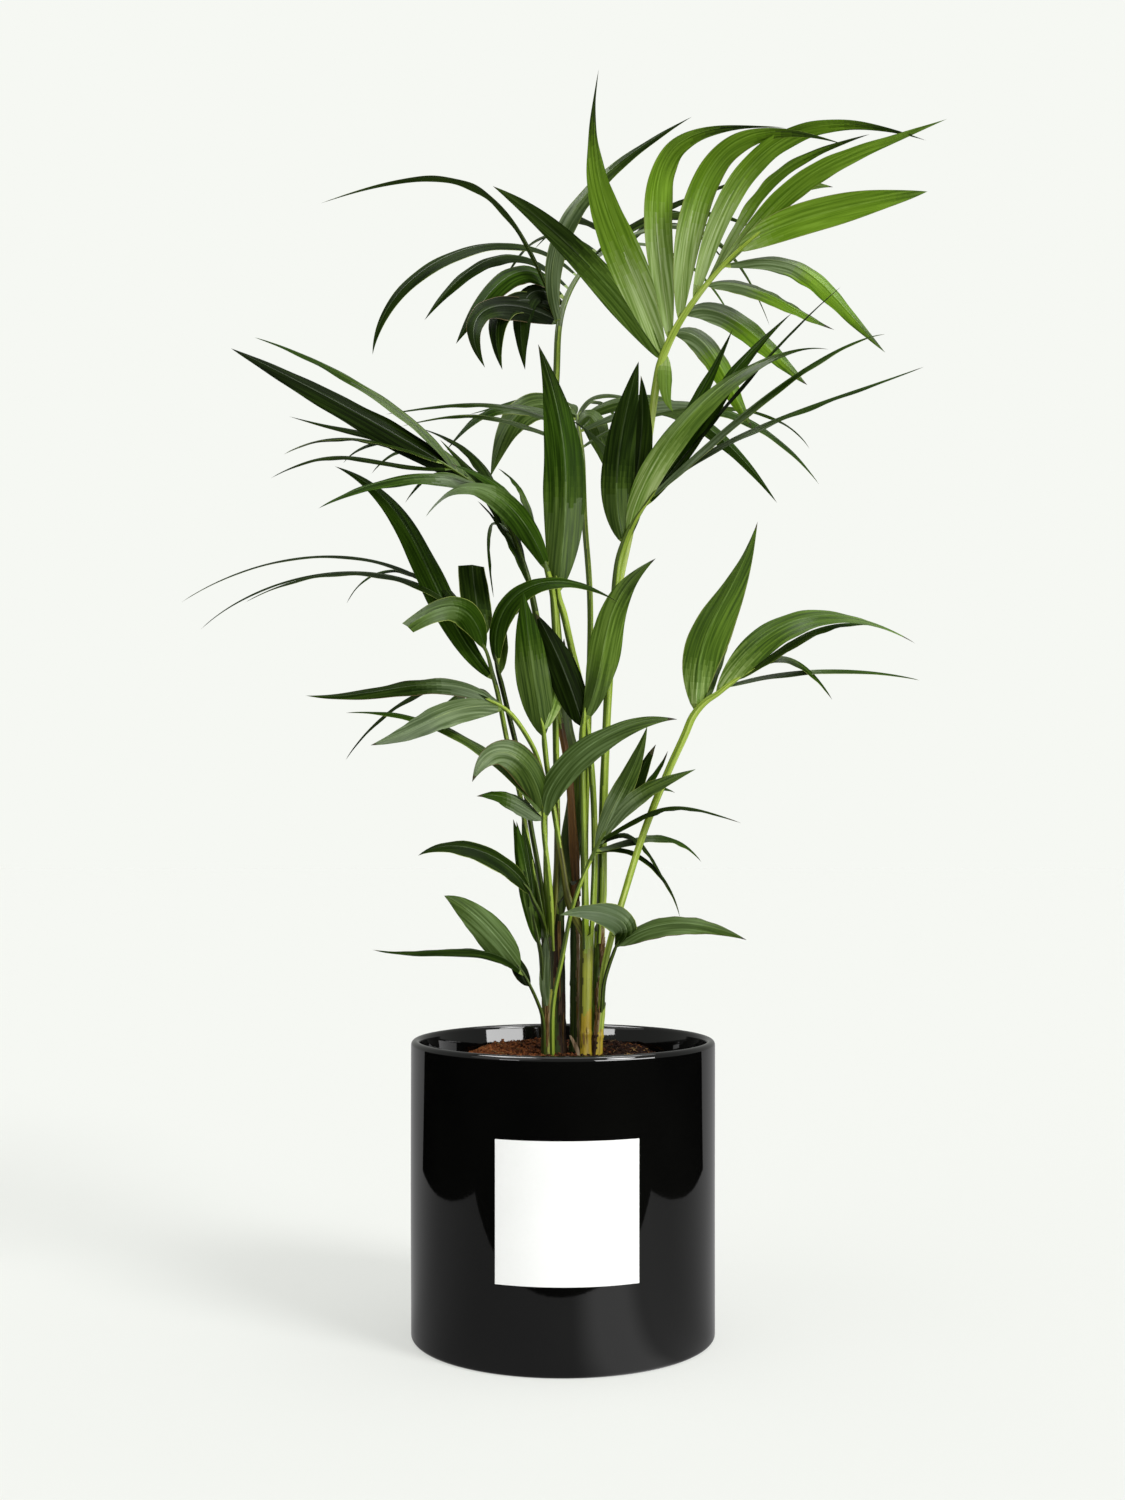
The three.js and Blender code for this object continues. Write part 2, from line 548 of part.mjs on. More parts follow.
// Joins closed geometries into one body. Loose scraps and sealed voids are dropped.
function joined(geometries) {
  const whole = geometries.map(toManifold).reduce((sum, solid) => sum.add(solid));
  const body = whole.simplify(JOIN_TOLERANCE).decompose().sort((a, b) => b.volume() - a.volume())[0];
  const mesh = body.getMesh();
  const points = [];
  for (let i = 0; i < mesh.numVert; i += 1) {
    points.push(new THREE.Vector3().fromArray(mesh.vertProperties, mesh.numProp * i));
  }
  const faces = [];
  for (let i = 0; i < mesh.numTri; i += 1) faces.push([...mesh.triVerts.slice(3 * i, 3 * i + 3)]);
  let clean = withoutShortEdges(points, faces);
  for (let pass = 0; pass < SPLINTER_PASSES; pass += 1) clean = withoutSplinters(points, clean);
  const used = [...new Set(clean.flat())];
  const renumbered = new Map(used.map((old, i) => [old, i]));
  return shell(used.map((i) => points[i]), clean.flat().map((i) => renumbered.get(i)));
}

function neighboursOf(points, faces) {
  const neighbours = points.map(() => new Set());
  for (const [a, b, c] of faces) {
    neighbours[a].add(b).add(c);
    neighbours[b].add(c).add(a);
    neighbours[c].add(a).add(b);
  }
  return neighbours;
}

// Draws edges shorter than LEAST_EDGE in to a point, one at a time. The skin stays closed as
// long as an edge's ends share no neighbours but the tips of its own two faces.
function withoutShortEdges(points, faces) {
  const neighbours = neighboursOf(points, faces);
  for (const face of faces) {
    for (const [a, b] of [[face[0], face[1]], [face[1], face[2]], [face[2], face[0]]]) {
      const shared = [...neighbours[a]].filter((tip) => neighbours[b].has(tip));
      if (points[a].distanceTo(points[b]) < LEAST_EDGE && shared.length === 2) {
        const drawn = faces.map((corners) => corners.map((corner) => (corner === b ? a : corner)));
        return withoutShortEdges(points, drawn.filter((corners) => new Set(corners).size === 3));
      }
    }
  }
  return faces;
}

// Turns the long edge of each face lower than LEAST_FACE, so that it joins the tips of the two
// faces beside it.
function withoutSplinters(points, faces) {
  const kept = faces.map((face) => [...face]);
  for (const [index, face] of kept.entries()) {
    const length = (i) => points[face[i]].distanceTo(points[face[(i + 1) % 3]]);
    const longest = [0, 1, 2].sort((i, j) => length(j) - length(i))[0];
    const [a, b, tip] = [0, 1, 2].map((i) => face[(longest + i) % 3]);
    const height = 2 * new THREE.Triangle(points[a], points[b], points[tip]).getArea() / length(longest);
    const beside = kept.findIndex((other, i) => i !== index && other.includes(a) && other.includes(b));
    const far = kept[beside].find((corner) => corner !== a && corner !== b);
    if (height < LEAST_FACE && !neighboursOf(points, kept)[tip].has(far)) {
      kept[index] = [a, far, tip];
      kept[beside] = [far, b, tip];
    }
  }
  return kept;
}

function makePot() {
  const inner = POT_RADIUS - POT_WALL;
  const lip = POT_WALL / 2;
  const profile = new THREE.Path();
  profile.moveTo(0, 0);
  profile.lineTo(POT_RADIUS - POT_FOOT_ROUND, 0);
  profile.absarc(POT_RADIUS - POT_FOOT_ROUND, POT_FOOT_ROUND, POT_FOOT_ROUND, -Math.PI / 2, 0);
  profile.lineTo(POT_RADIUS, POT_HEIGHT - lip);
  profile.absarc(POT_RADIUS - lip, POT_HEIGHT - lip, lip, 0, Math.PI);
  profile.lineTo(inner, POT_FLOOR);
  profile.lineTo(0, POT_FLOOR);
  add("pot", lathe(profile.getPoints(2)), "#0c0c0c", 0.12);
}

// Solid of revolution about Z from a profile of [radius, height] points.
function lathe(points) {
  const geometry = new THREE.LatheGeometry(points, POT_SIDES);
  geometry.rotateX(Math.PI / 2);
  return geometry;
}

function makeSoil() {
  const radius = POT_RADIUS - POT_WALL - GAP;
  const profile = [
    [0, POT_FLOOR + GAP],
    [radius, POT_FLOOR + GAP],
    [radius, SOIL_EDGE],
    [SOIL_SHOULDER_RADIUS, SOIL_EDGE + SOIL_CRUMBLE],
    [SOIL_SHOULDER_RADIUS - SOIL_ROUND, SOIL_RIDGE - SOIL_ROUND],
    [SOIL_RIDGE_RADIUS, SOIL_RIDGE],
    [SOIL_DISH_RADIUS, SOIL_TOP],
    [0, SOIL_TOP],
  ].map(([r, z]) => new THREE.Vector2(r, z));
  add("soil", lathe(profile), "#4a2c1a", 1);
}

function makeLabel() {
  const inside = POT_RADIUS + GAP;
  const outside = inside + LABEL_THICKNESS;
  const middle = -Math.PI / 2 + LABEL_SHIFT / POT_RADIUS;
  const half = LABEL_WIDTH / POT_RADIUS / 2;
  const outline = new THREE.Shape();
  outline.absarc(0, 0, outside, middle - half, middle + half, false);
  outline.absarc(0, 0, inside, middle + half, middle - half, true);
  outline.closePath();
  const options = { depth: LABEL_HEIGHT, bevelEnabled: false, curveSegments: LABEL_SEGMENTS };
  const geometry = new THREE.ExtrudeGeometry(outline, options);
  geometry.translate(0, 0, LABEL_BOTTOM);
  add("label", geometry, "#f4f4f2", 0.6);
}

function makeCane({ name, foot, top, radii, colour }) {
  const seat = new THREE.Vector3(foot[0], foot[1], SOIL_TOP + GAP);
  const end = placed(top);
  const line = new THREE.LineCurve3(seat, end);
  const rings = [];
  for (let i = 0; i <= CANE_STEPS; i += 1) {
    const share = i / CANE_STEPS;
    const radius = THREE.MathUtils.lerp(radii[0], radii[1], share);
    rings.push(tubeRing(line.getPoint(share), new THREE.Vector3(0, 0, 1), radius, CANE_SIDES));
  }
  add(name, skin(rings), colour, 0.6);
}

// Height where a stalk starts: GAP over the cane's top or the soil below its foot. A stalk
// that leaves a cane's flank keeps its own height.
function footLevel(foot) {
  if (foot.z < SOIL_RIDGE) return SOIL_TOP + GAP;
  for (const cane of CANES) {
    const top = placed(cane.top);
    if (Math.hypot(foot.x - top.x, foot.y - top.y) < cane.radii[1]) return top.z + GAP;
  }
  return foot.z;
}

function throughPoints(points) {
  return new THREE.CatmullRomCurve3(points, false, "centripetal");
}

function makeFrond({ name, tone, radii, stalk, rib, leaflets }) {
  const stalkPoints = stalk.map(placed);
  const ribPoints = rib.map(placed);
  stalkPoints[0].z = footLevel(stalkPoints[0]);
  const upright = new THREE.Vector3(0, 0, 1);
  const onward = ribPoints[1].clone().sub(stalkPoints.at(-2)).normalize();
  const stalkLine = throughPoints(stalkPoints);
  const stalkRings = stations(stalkLine, [radii[0], radii[1]], STALK_STEP, upright, onward);
  add(`${name}_stalk`, skin(stalkRings), COLOURS.stalk, 0.45);

  ribPoints[0].addScaledVector(onward, GAP);
  const ribLine = throughPoints(ribPoints);
  const ribRings = stations(ribLine, [radii[1], radii[2]], RIB_STEP, onward, ribLine.getTangentAt(1));
  const elevation = throughPoints(rib.map((point) => new THREE.Vector3(...point)));
  const solids = [skin(ribRings)];
  for (const row of leaflets) solids.push(blade(elevation.getPointAt(row[0]).toArray(), row));
  add(`${name}_frond`, joined(solids), COLOURS[tone], 0.4);
}

makePot();
makeSoil();
makeLabel();
CANES.forEach(makeCane);
FRONDS.forEach(makeFrond);

export default group;
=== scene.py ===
"""Looks of a young kentia palm in a glossy black cylinder pot.

Lengths are in millimetres up to the point where a mesh is made. The origin is the centre of
the pot's flat underside, Z is the pot's axis and the front, with the label, faces -Y.
"""

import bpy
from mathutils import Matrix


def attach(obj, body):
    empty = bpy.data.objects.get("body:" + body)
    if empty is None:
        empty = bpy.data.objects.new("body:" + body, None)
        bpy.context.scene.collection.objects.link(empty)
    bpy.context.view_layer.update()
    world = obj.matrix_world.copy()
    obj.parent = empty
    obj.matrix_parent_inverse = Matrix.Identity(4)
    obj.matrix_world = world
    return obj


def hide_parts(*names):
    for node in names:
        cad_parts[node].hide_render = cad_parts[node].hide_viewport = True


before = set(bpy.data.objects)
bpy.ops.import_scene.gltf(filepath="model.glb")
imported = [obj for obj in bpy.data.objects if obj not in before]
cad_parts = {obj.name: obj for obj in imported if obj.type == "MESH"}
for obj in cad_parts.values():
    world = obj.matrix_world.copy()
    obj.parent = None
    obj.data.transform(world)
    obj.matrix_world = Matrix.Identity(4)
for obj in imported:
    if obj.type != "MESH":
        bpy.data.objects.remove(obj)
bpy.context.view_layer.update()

import math

import bpy
import numpy as np

MM = 0.001
SEED = 20
FULL_TURN = 2 * math.pi

# Front elevation through the pot's axis, as it lines up from the eye.
EYE_DISTANCE = 1637.0
EYE_HEIGHT = 454.0
LENS = 42.5
LENS_SHIFT = (-0.0003, 0.0618)

# Pot, label and soil, as built.
POT_RADIUS = 140.0
POT_HEIGHT = 273.0
POT_INNER = 131.5
POT_LIP = 4.25
POT_FOOT = 4.0
POT_FLOOR = 12.0
LABEL_WIDTH = 127.0
LABEL_BOTTOM = 78.0
LABEL_HEIGHT = 123.5
LABEL_SHIFT = 4.0
SOIL_TOP = 258.0
SOIL_RIDGE = 265.0
SOIL_EDGE = 238.0
# The soil's surface in section: radius and height.
SOIL_PROFILE = [(0, SOIL_TOP), (36, SOIL_TOP), (70, SOIL_RIDGE - 1), (88, SOIL_RIDGE - 8),
                (96, SOIL_EDGE + 8), (POT_INNER, SOIL_EDGE)]
GAP = 0.3

# Leaf blades, by the rule that the solids follow.
BLADE_BROADEST = 0.38
BLADE_ROOT_WIDTH = 3.0
BLADE_RISE = 0.75
BLADE_TAPER = 1.8
LEAST_TURN = 0.02

# Fronds: name, tone and radii at the stalk's foot, the rib's start and the rib's end. Then come
# the points (x, z, depth) of the stalk and of the rest of the rib on the elevation. A leaflet is
# (place along the rib from 0 to 1, tip x, tip z, tip depth, heading where it leaves the rib,
# heading at its tip, fullness of its sweep, broadest width, turn, twist, tone, blunt end).
# Headings are in degrees, 0 is +X, 90 is up. A turn of 0 shows its upper side to the front, 90
# lays it flat, 180 shows its underside.
# A leaflet's tone holds painted light as well as its own colour: painted sheen, painted glow of light
# through the blade and painted shade.
FRONDS = [
    ("crown_right", "lime", (2.3, 2.4, 1), [
        (36, 374, 14.5), (37, 467, 17), (40, 559, 18), (46, 661, 17), (62, 744, 12), (77, 818, 2),
        (86, 878, -8), (90, 897, -12),
    ], [
        (104, 929, -22), (127, 963, -34), (152, 992, -46), (182, 1019, -58),
    ], [
        (0.05, 33, 1169, -50, 108, 82, 1.3, 36, 175, -75, "limestripe"),
        (0.03, -65, 1061, 10, 122, 150, 0.9, 26, 150, 20, "deep"),
        (0.04, -5, 992, 40, 125, 200, 0.9, 18, 120, 0, "deep"),
        (0.15, 205, 1115, -70, 97, 355, 1.6, 30, 190, -110, "limestripe"),
        (0.28, 261, 1099, -90, 88, 340, 1.4, 28, 190, -105, "limestripe"),
        (0.43, 336, 1103, -95, 78, 340, 1.3, 22, 180, -85, "limestripe"),
        (0.52, 284, 1109, -70, 62, 15, 1.4, 18, 118, 0, "limestripe"),
        (0.66, 355, 1123, -100, 52, 20, 1.5, 22, 150, -30, "lime"),
        (0.83, 337, 1056, -90, 40, 10, 0.8, 28, 165, -10, "lime"),
        (0.7, 298, 907, -60, 14, 315, 1.4, 26, 45, -30, "sheenlime"),
        (0.55, 251, 928, -50, 12, 335, 1, 24, 38, 10, "sheenlime"),
        (0.33, 226, 877, -36, 28, 320, 0.9, 25, 18, 0, "sheenlime"),
        (0.2, 175, 838, -28, 12, 305, 0.9, 24, 15, 0, "sheenlime"),
        (0.07, 102, 852, -16, 280, 305, 1, 14, 20, 0, "light"),
        (0.9, 250, 1060, 40, 60, 350, 1.3, 20, 120, 0, "light"),
    ]),
    ("crown_left", "dark", (2.2, 2, 0.9), [
        (-1, 404, 10), (4, 428, 17), (8, 460, 21), (13, 509, 24), (3, 559, 27), (-6, 652, 31),
        (-12, 753, 37), (-10, 818, 41), (-6, 887, 47), (-4, 929, 52),
    ], [
        (3, 957, 75), (20, 986, 115), (40, 1005, 160), (64, 1010, 210),
    ], [
        (0.02, 119, 1125, -20, 108, 28, 1.1, 20, 15, 20, "greydark"),
        (0.05, -224, 1045, 60, 110, 200, 1.5, 18, 94, 0, "dark"),
        (0.36, -176, 905, 130, 130, 265, 0.9, 25, 75, -58, "dark"),
        (0.25, -128, 937, 90, 130, 235, 1.3, 23, 75, -58, "dark"),
        (0.18, -99, 915, 50, 125, 240, 1.4, 30, 55, -50, "rich"),
        (0.04, -72, 893, 0, 150, 300, 1.5, 34, 20, 30, "soot"),
        (0.1, -56, 891, 20, 150, 288, 1.5, 30, 25, 10, "soot"),
        (0.15, -35, 891, 36, 140, 280, 1.5, 28, 30, 0, "soot"),
        (0.55, 175, 1071, 120, 55, 20, 0.8, 18, 92, 0, "dark"),
        (0.67, 189, 1013, 150, 45, 320, 1, 18, 90, 0, "mid"),
        (0.78, 191, 932, 190, 30, 290, 1.3, 22, 80, 0, "grey"),
        (0.45, 159, 929, 90, 50, 288, 1, 22, 70, 0, "grey"),
        (0.9, 154, 984, 300, 40, 300, 1.2, 22, 80, 0, "dark"),
        (0.97, 140, 1021, 330, 55, 330, 1.3, 22, 90, 0, "dark"),
        (0.83, -26, 1003, 290, 130, 230, 1.4, 22, 80, 0, "dark"),
        (0.62, -60, 960, 240, 140, 250, 1.3, 22, 70, 0, "dark"),
    ]),
    ("upper_left", "dark", (2.5, 2.2, 0.9), [
        (12, 421, 12), (9, 467, 8), (5, 522, 8), (-6, 580, 5), (-16, 619, 1), (-25, 666, -5),
    ], [
        (-32, 698, -10), (-42, 728, -16), (-54, 754, -24), (-69, 775, -32), (-91, 792, -40),
        (-114, 807, -48),
    ], [
        (0.8, -307, 911, -90, 145, 155, 0.8, 28, 25, 10, "black"),
        (0.88, -285, 921, -50, 118, 165, 0.8, 20, 60, 0, "mid"),
        (0.57, -253, 848, -30, 130, 165, 1.4, 20, 52, 0, "dark"),
        (0.98, -258, 813, -80, 160, 210, 1.1, 20, 82, 0, "dark"),
        (0.92, -270, 791, -100, 180, 210, 1.4, 20, 84, 0, "dark"),
        (0.53, -226, 763, -120, 112, 212, 0.9, 22, 48, 0, "grey"),
        (0.84, -203, 805, -20, 105, 235, 0.8, 18, 60, 0, "mid"),
        (0.75, -177, 795, 0, 130, 235, 1.2, 18, 60, 0, "mid"),
        (0.67, -146, 768, -70, 140, 240, 1.4, 18, 60, 0, "mid"),
        (0.42, -64, 680, -10, 130, 280, 1.5, 18, 78, 0, "grey"),
        (0.16, -79, 770, -50, 108, 140, 1, 18, 75, 0, "dark"),
        (0.2, -114, 827, 60, 105, 135, 1.4, 24, 50, 0, "dark"),
        (0.34, -132, 837, 110, 110, 165, 1.3, 24, 60, 0, "dark"),
    ]),
    ("upper_left_front", "mid", (1.9, 1.8, 0.9), [
        (-10.8, 372, -7.7), (-6, 421, -3), (-5, 467, -2), (-6, 522, -3), (-7, 587, -8), (-7, 643, -15),
        (-9, 680, -18), (-13, 700, -20),
    ], [
        (-18, 716, -22), (-25, 730, -25),
    ], [
        (0.2, -127, 755, -110, 108, 238, 1.2, 26, 5, 60, "sheenend"),
        (0.7, -104, 804, -70, 112, 165, 1.2, 20, 50, 0, "grey"),
        (0.9, -60, 800, 90, 100, 150, 1.2, 22, 70, 0, "mid"),
    ]),
    ("upper_back", "mid", (2, 2, 0.9), [
        (22, 376, -2.5), (20, 421, 4), (20, 467, 8), (22, 522, 11), (24, 587, 14), (25, 680, 20),
        (20, 753, 38), (18, 807, 62),
    ], [
        (16, 827, 90), (14, 841, 130), (13, 848, 170), (13, 846, 215),
    ], [
        (0.29, -164, 850, 90, 150, 190, 1.2, 20, 86, 0, "grey"),
        (0.14, -149, 839, 70, 160, 195, 1.4, 16, 90, 0, "grey"),
        (0.6, -108, 816, 130, 165, 235, 1.4, 22, 50, 0, "grey"),
        (0.8, -67, 792, 170, 150, 255, 1.4, 32, 10, 0, "olive"),
        (0.42, 46, 790, 110, 62, 288, 1.2, 28, 25, 0, "olive"),
        (0.12, 228, 818, 60, 40, 300, 0.8, 16, 90, 0, "mid"),
        (0.33, 237, 785, 85, 30, 305, 1.1, 22, 50, 0, "grey"),
        (0.55, 198, 768, 110, 35, 305, 1.1, 24, 30, 0, "mid"),
        (0.82, 117, 846, 240, 70, 345, 1.1, 24, 80, 0, "mid"),
        (0.95, -86, 850, 290, 125, 195, 1.2, 24, 80, 0, "mid"),
        (0.98, 71, 827, 320, 70, 315, 1.4, 24, 70, 0, "mid"),
        (0.9, -17, 818, 330, 100, 250, 1.4, 24, 70, 0, "mid"),
    ]),
    ("upper_right", "dark", (2.3, 2.6, 1), [
        (33, 378, 8), (35, 430, 7), (37, 504, 3), (41, 582, -3), (45, 643, -7), (51, 711, -12),
        (55, 726, -14),
    ], [
        (66, 752, -22), (76, 767, -30), (85, 779, -38),
    ], [
        (0.08, 70, 899, -60, 110, 75, 0.9, 30, 8, 0, "darkstripe"),
        (0.14, 72, 886, -26, 80, 98, 0.9, 24, 30, 0, "darkstripe"),
        (0.22, 246, 910, -130, 82, 350, 0.8, 28, 10, 60, "midstripe"),
        (0.72, 212, 944, -100, 52, 40, 1.3, 22, 42, 0, "rich"),
        (0.6, 157, 929, -80, 68, 65, 1.3, 20, 40, 0, "rich"),
        (0.83, 257, 968, -120, 50, 40, 1.1, 18, 84, 0, "dark"),
        (0.9, 298, 924, -140, 45, 5, 0.7, 22, 66, 0, "grey"),
        (0.96, 334, 894, -100, 46, 20, 0.9, 20, 68, 0, "grey"),
        (0.35, 6, 846, 60, 105, 150, 1.4, 22, 60, 0, "dark"),
    ]),
    ("centre_tall", "dark", (2, 2.2, 1), [
        (26.5, 377, -8), (29, 430, -5), (28, 495, -4), (24, 546, -4), (19, 587, -5), (8, 633, -8),
        (0, 668, -11), (-4, 680, -13),
    ], [
        (-5, 689, -15), (-6, 698, -17),
    ], [
        (0.3, -23, 915, -50, 84, 110, 1.2, 40, 6, 8, "deeptall"),
    ]),
    ("left_dark", "dark", (1.9, 1.9, 0.9), [
        (-18, 372, -10), (-30, 439, -14), (-39, 495, -15), (-51, 546, -16), (-58, 582, -15),
        (-61, 596, -14),
    ], [
        (-65, 610, -15), (-70, 629, -17), (-77, 644, -19), (-84, 659, -22),
    ], [
        (0.15, -211, 802, 10, 135, 160, 1.1, 26, 20, 0, "rich"),
        (0.5, -353, 676, 100, 112, 214, 1, 20, 77, 0, "dark"),
        (0.7, -335, 651, 60, 116, 224, 0.9, 18, 76, 0, "dark"),
        (0.82, -294, 676, 30, 125, 210, 1, 20, 73, 0, "dark"),
        (0.9, -200, 675, 80, 120, 245, 1.1, 18, 70, 0, "grey"),
        (0.58, -144, 654, -70, 105, 215, 1.5, 28, 20, 10, "sheenend", 0.55),
        (0.74, -84, 711, 10, 92, 94, 1, 28, 15, 0, "darkstripe", 0.9),
        (0.96, -131, 687, 50, 125, 275, 1.4, 16, 60, 0, "dark"),
    ]),
    ("left_arch", "mid", (1.9, 1.9, 1.2), [
        (-15.3, 372, -6.2), (-21, 421, -5), (-29, 467, -4), (-38, 522, -3), (-50, 573, -4),
        (-57, 602, -6),
    ], [
        (-60, 613, -8), (-63, 629, -10),
    ], [
        (0.6, 51, 676, -60, 100, 325, 1.2, 24, 20, 40, "rich"),
        (0.3, -54, 676, 40, 82, 65, 1.3, 18, 40, 0, "mid"),
        (0.8, -26, 664, 80, 92, 325, 1.2, 20, 60, 0, "mid"),
    ]),
    ("lower_left", "mid", (1.5, 1.8, 1), [
        (-14, 372, -10), (-16, 421, -10), (-16, 467, -8), (-17, 504, -9), (-24, 534, -17),
        (-36, 557, -24), (-48, 573, -28),
    ], [
        (-58, 581, -31), (-69, 586, -34),
    ], [
        (0.2, -238, 590, -60, 140, 175, 1.2, 20, 38, 0, "greydeep"),
        (0.35, -178, 544, -110, 170, 195, 1.2, 26, 22, 0, "greyshine"),
        (0.85, -201, 530, 0, 130, 240, 0.9, 18, 74, 0, "dark"),
        (0.65, -123, 559, 60, 130, 245, 1.2, 22, 60, 0, "mid"),
    ]),
    ("centre_left_blade", "mid", (2, 2, 1.2), [
        (18, 376, -9), (6, 398, -12), (-1, 439, -13), (-10, 495, -14), (-15, 527, -15), (-17, 546, -17),
    ], [
        (-18, 558, -20), (-20, 567, -23),
    ], [
        (0.3, -37, 687, -60, 100, 96, 1.1, 32, 10, 0, "mid"),
        (0.6, 1, 643, -16, 68, 88, 1, 17, 10, 0, "light"),
    ]),
    ("centre_bifid", "mid", (2, 2.4, 1.4), [
        (21, 374, -11.5), (20, 439, -14), (18, 513, -16), (17.5, 541, -17), (18, 557, -18),
    ], [
        (19, 567, -20), (20, 576, -22),
    ], [
        (0.25, -25, 666, -26, 106, 120, 1, 30, 10, 0, "black"),
        (0.5, 86, 717, -70, 66, 35, 1.3, 30, 15, 0, "greylight"),
    ]),
    ("low_centre", "mid", (1.9, 1.8, 1), [
        (-10.8, 371, -12.4), (-13, 421, -18), (-17, 458, -20), (-18, 471, -21),
    ], [
        (-18, 481, -23), (-19, 490, -25),
    ], [
        (0.2, 106, 568, -80, 94, 352, 0.8, 28, 15, 30, "soft"),
        (0.6, -84, 510, -80, 98, 250, 1.4, 30, 15, 0, "tipsheen"),
        (0.4, -201, 574, -60, 120, 185, 1, 18, 60, 0, "mid"),
        (0.25, -80, 497, -52, 150, 190, 1.2, 20, 40, 0, "grey"),
    ]),
    ("low_left_blade", "dark", (1.5, 1.5, 1), [
        (-15.3, 371, -13.8), (-21, 388, -23), (-28, 402, -29),
    ], [
        (-31, 410, -32), (-35, 415, -35),
    ], [
        (0.35, -134, 442, -70, 116, 214, 0.9, 22, 42, 0, "dark"),
    ]),
    ("spears", "dark", (1.4, 1.6, 1.2), [
        (-19.6, 336, -14.6), (-20.2, 350, -15.6),
    ], [
        (-22.5, 362, -16.6), (-25, 374, -17.6), (-27.5, 386, -18.6),
    ], [
        (0.3, -46, 476, -22, 100, 103, 1, 17, 20, 0, "rich"),
        (0.55, -43, 474, -26, 98, 102, 1, 14, 25, 0, "mid"),
        (0.85, -38, 476, -23, 90, 100, 1, 14, 30, 0, "dark"),
    ]),
    ("foot_left", "mid", (1.6, 1.4, 1), [
        (-18, 262, -19), (-19, 293, -26), (-24, 308, -31), (-30, 321, -36),
    ], [
        (-36, 332, -39), (-42, 341, -42),
    ], [
        (0.85, -110, 405, -70, 122, 160, 0.8, 30, 20, 0, "soft"),
        (0.55, -176, 355, -110, 132, 170, 1.1, 18, 70, 0, "dark"),
        (0.05, -52, 356, -45, 120, 128, 1, 15, 30, 0, "soot"),
    ]),
    ("low_right_fan", "grey", (1.6, 1.5, 0.9), [
        (-10, 262, -24), (-9, 305, -27), (0, 351, -28), (8, 391, -28), (18, 421, -27), (25, 437, -27),
    ], [
        (32, 452, -29), (42, 469, -31), (51, 484, -33),
    ], [
        (0.25, 78, 562, -50, 70, 75, 1.2, 20, 15, 0, "greystripe"),
        (0.84, 86, 545, -36, 48, 56, 1, 18, 40, 0, "dark"),
        (0.72, 97, 539, -26, 50, 68, 0.9, 14, 60, 0, "grey"),
        (0.5, 123, 522, -70, 60, 20, 1.2, 18, 32, 0, "greystripe"),
        (0.4, 165, 472, -60, 32, 340, 1.5, 18, 76, 0, "dark"),
        (0.3, 97, 412, 30, 40, 295, 1.3, 16, 72, 0, "dark"),
        (0.15, 108, 385, 60, 25, 280, 1, 16, 72, 0, "dark"),
        (0.2, 128, 436, 84, 18, 305, 1.2, 20, 70, 0, "grey"),
        (0.62, 104, 500, 70, 50, 330, 1.3, 20, 60, 0, "grey"),
    ]),
    ("right_tall", "light", (2, 2.4, 0.9), [
        (34, 303, -3.4), (37, 333, -6), (43, 361, -10), (53, 395, -14), (74, 462, -24), (94, 513, -32),
        (113, 555, -40), (120, 571, -44),
    ], [
        (131, 584, -48), (143, 592, -52), (157, 603, -56), (175, 614, -62),
    ], [
        (0.08, 180, 751, -60, 92, 74, 1.4, 40, 5, 55, "fresh"),
        (0.43, 326, 638, -120, 60, 328, 1.2, 34, 20, 60, "fresh"),
        (0.76, 297, 654, -90, 34, 350, 1.3, 20, 68, 0, "mid"),
        (0.97, 249, 586, -30, 45, 300, 1.2, 20, 68, 0, "mid"),
        (0.6, 330, 604, -10, 20, 345, 0.9, 16, 70, 0, "grey"),
        (0.26, 165, 680, 30, 80, 60, 1.4, 20, 50, 0, "mid"),
    ]),
    ("foot_right", "grey", (1.8, 1.8, 1.2), [
        (36.5, 303, -8.4), (38, 324, -13), (43, 342, -17), (47, 353, -20),
    ], [
        (49, 358, -22), (51, 362, -24),
    ], [
        (0.5, -3, 387, -66, 36, 198, 1.1, 30, 25, 20, "silver"),
        (0.7, 170, 364, -60, 36, 335, 1.1, 24, 45, 0, "soft"),
    ]),
]


# ------------------------------------------------------------------------ points and curves


def placed(points):
    """Slides points (x, z, depth) of the elevation along their lines of sight to their depths."""
    points = np.asarray(points, float)
    reach = (EYE_DISTANCE + points[..., 2]) / EYE_DISTANCE
    height = EYE_HEIGHT + (points[..., 1] - EYE_HEIGHT) * reach
    return np.stack([points[..., 0] * reach, points[..., 2], height], -1)


def unit(vectors):
    """Vectors drawn out or in to length 1."""
    length = np.linalg.norm(vectors, axis=-1, keepdims=True)
    return vectors / np.maximum(length, 1e-9)


def through_points(points, per_span=24):
    """Dense samples of the centripetal Catmull-Rom curve through the points."""
    points = np.asarray(points, float)
    padded = np.vstack([2 * points[0] - points[1], points, 2 * points[-1] - points[-2]])
    share = np.linspace(0, 1, per_span, endpoint=False)[:, None]
    samples = []
    for a, b, c, d in zip(padded, padded[1:], padded[2:], padded[3:]):
        ab, bc, cd = (np.linalg.norm(q - p) ** 0.5 for p, q in ((a, b), (b, c), (c, d)))
        leave = bc * ((b - a) / ab - (c - a) / (ab + bc) + (c - b) / bc)
        arrive = bc * ((c - b) / bc - (d - b) / (bc + cd) + (d - c) / cd)
        cubic = 2 * b - 2 * c + leave + arrive
        square = -3 * b + 3 * c - 2 * leave - arrive
        samples.append(b + leave * share + square * share**2 + cubic * share**3)
    return np.vstack([*samples, points[-1:]])


def run_lengths(points):
    """Length along a polyline at each of its points."""
    steps = np.linalg.norm(np.diff(points, axis=0), axis=1)
    return np.concatenate([[0.0], np.cumsum(steps)])


def at_shares(points, shares):
    """Points of a polyline at these shares of its length."""
    lengths = run_lengths(points)
    wanted = np.asarray(shares, float) * lengths[-1]
    return np.stack([np.interp(wanted, lengths, places) for places in points.T], -1)


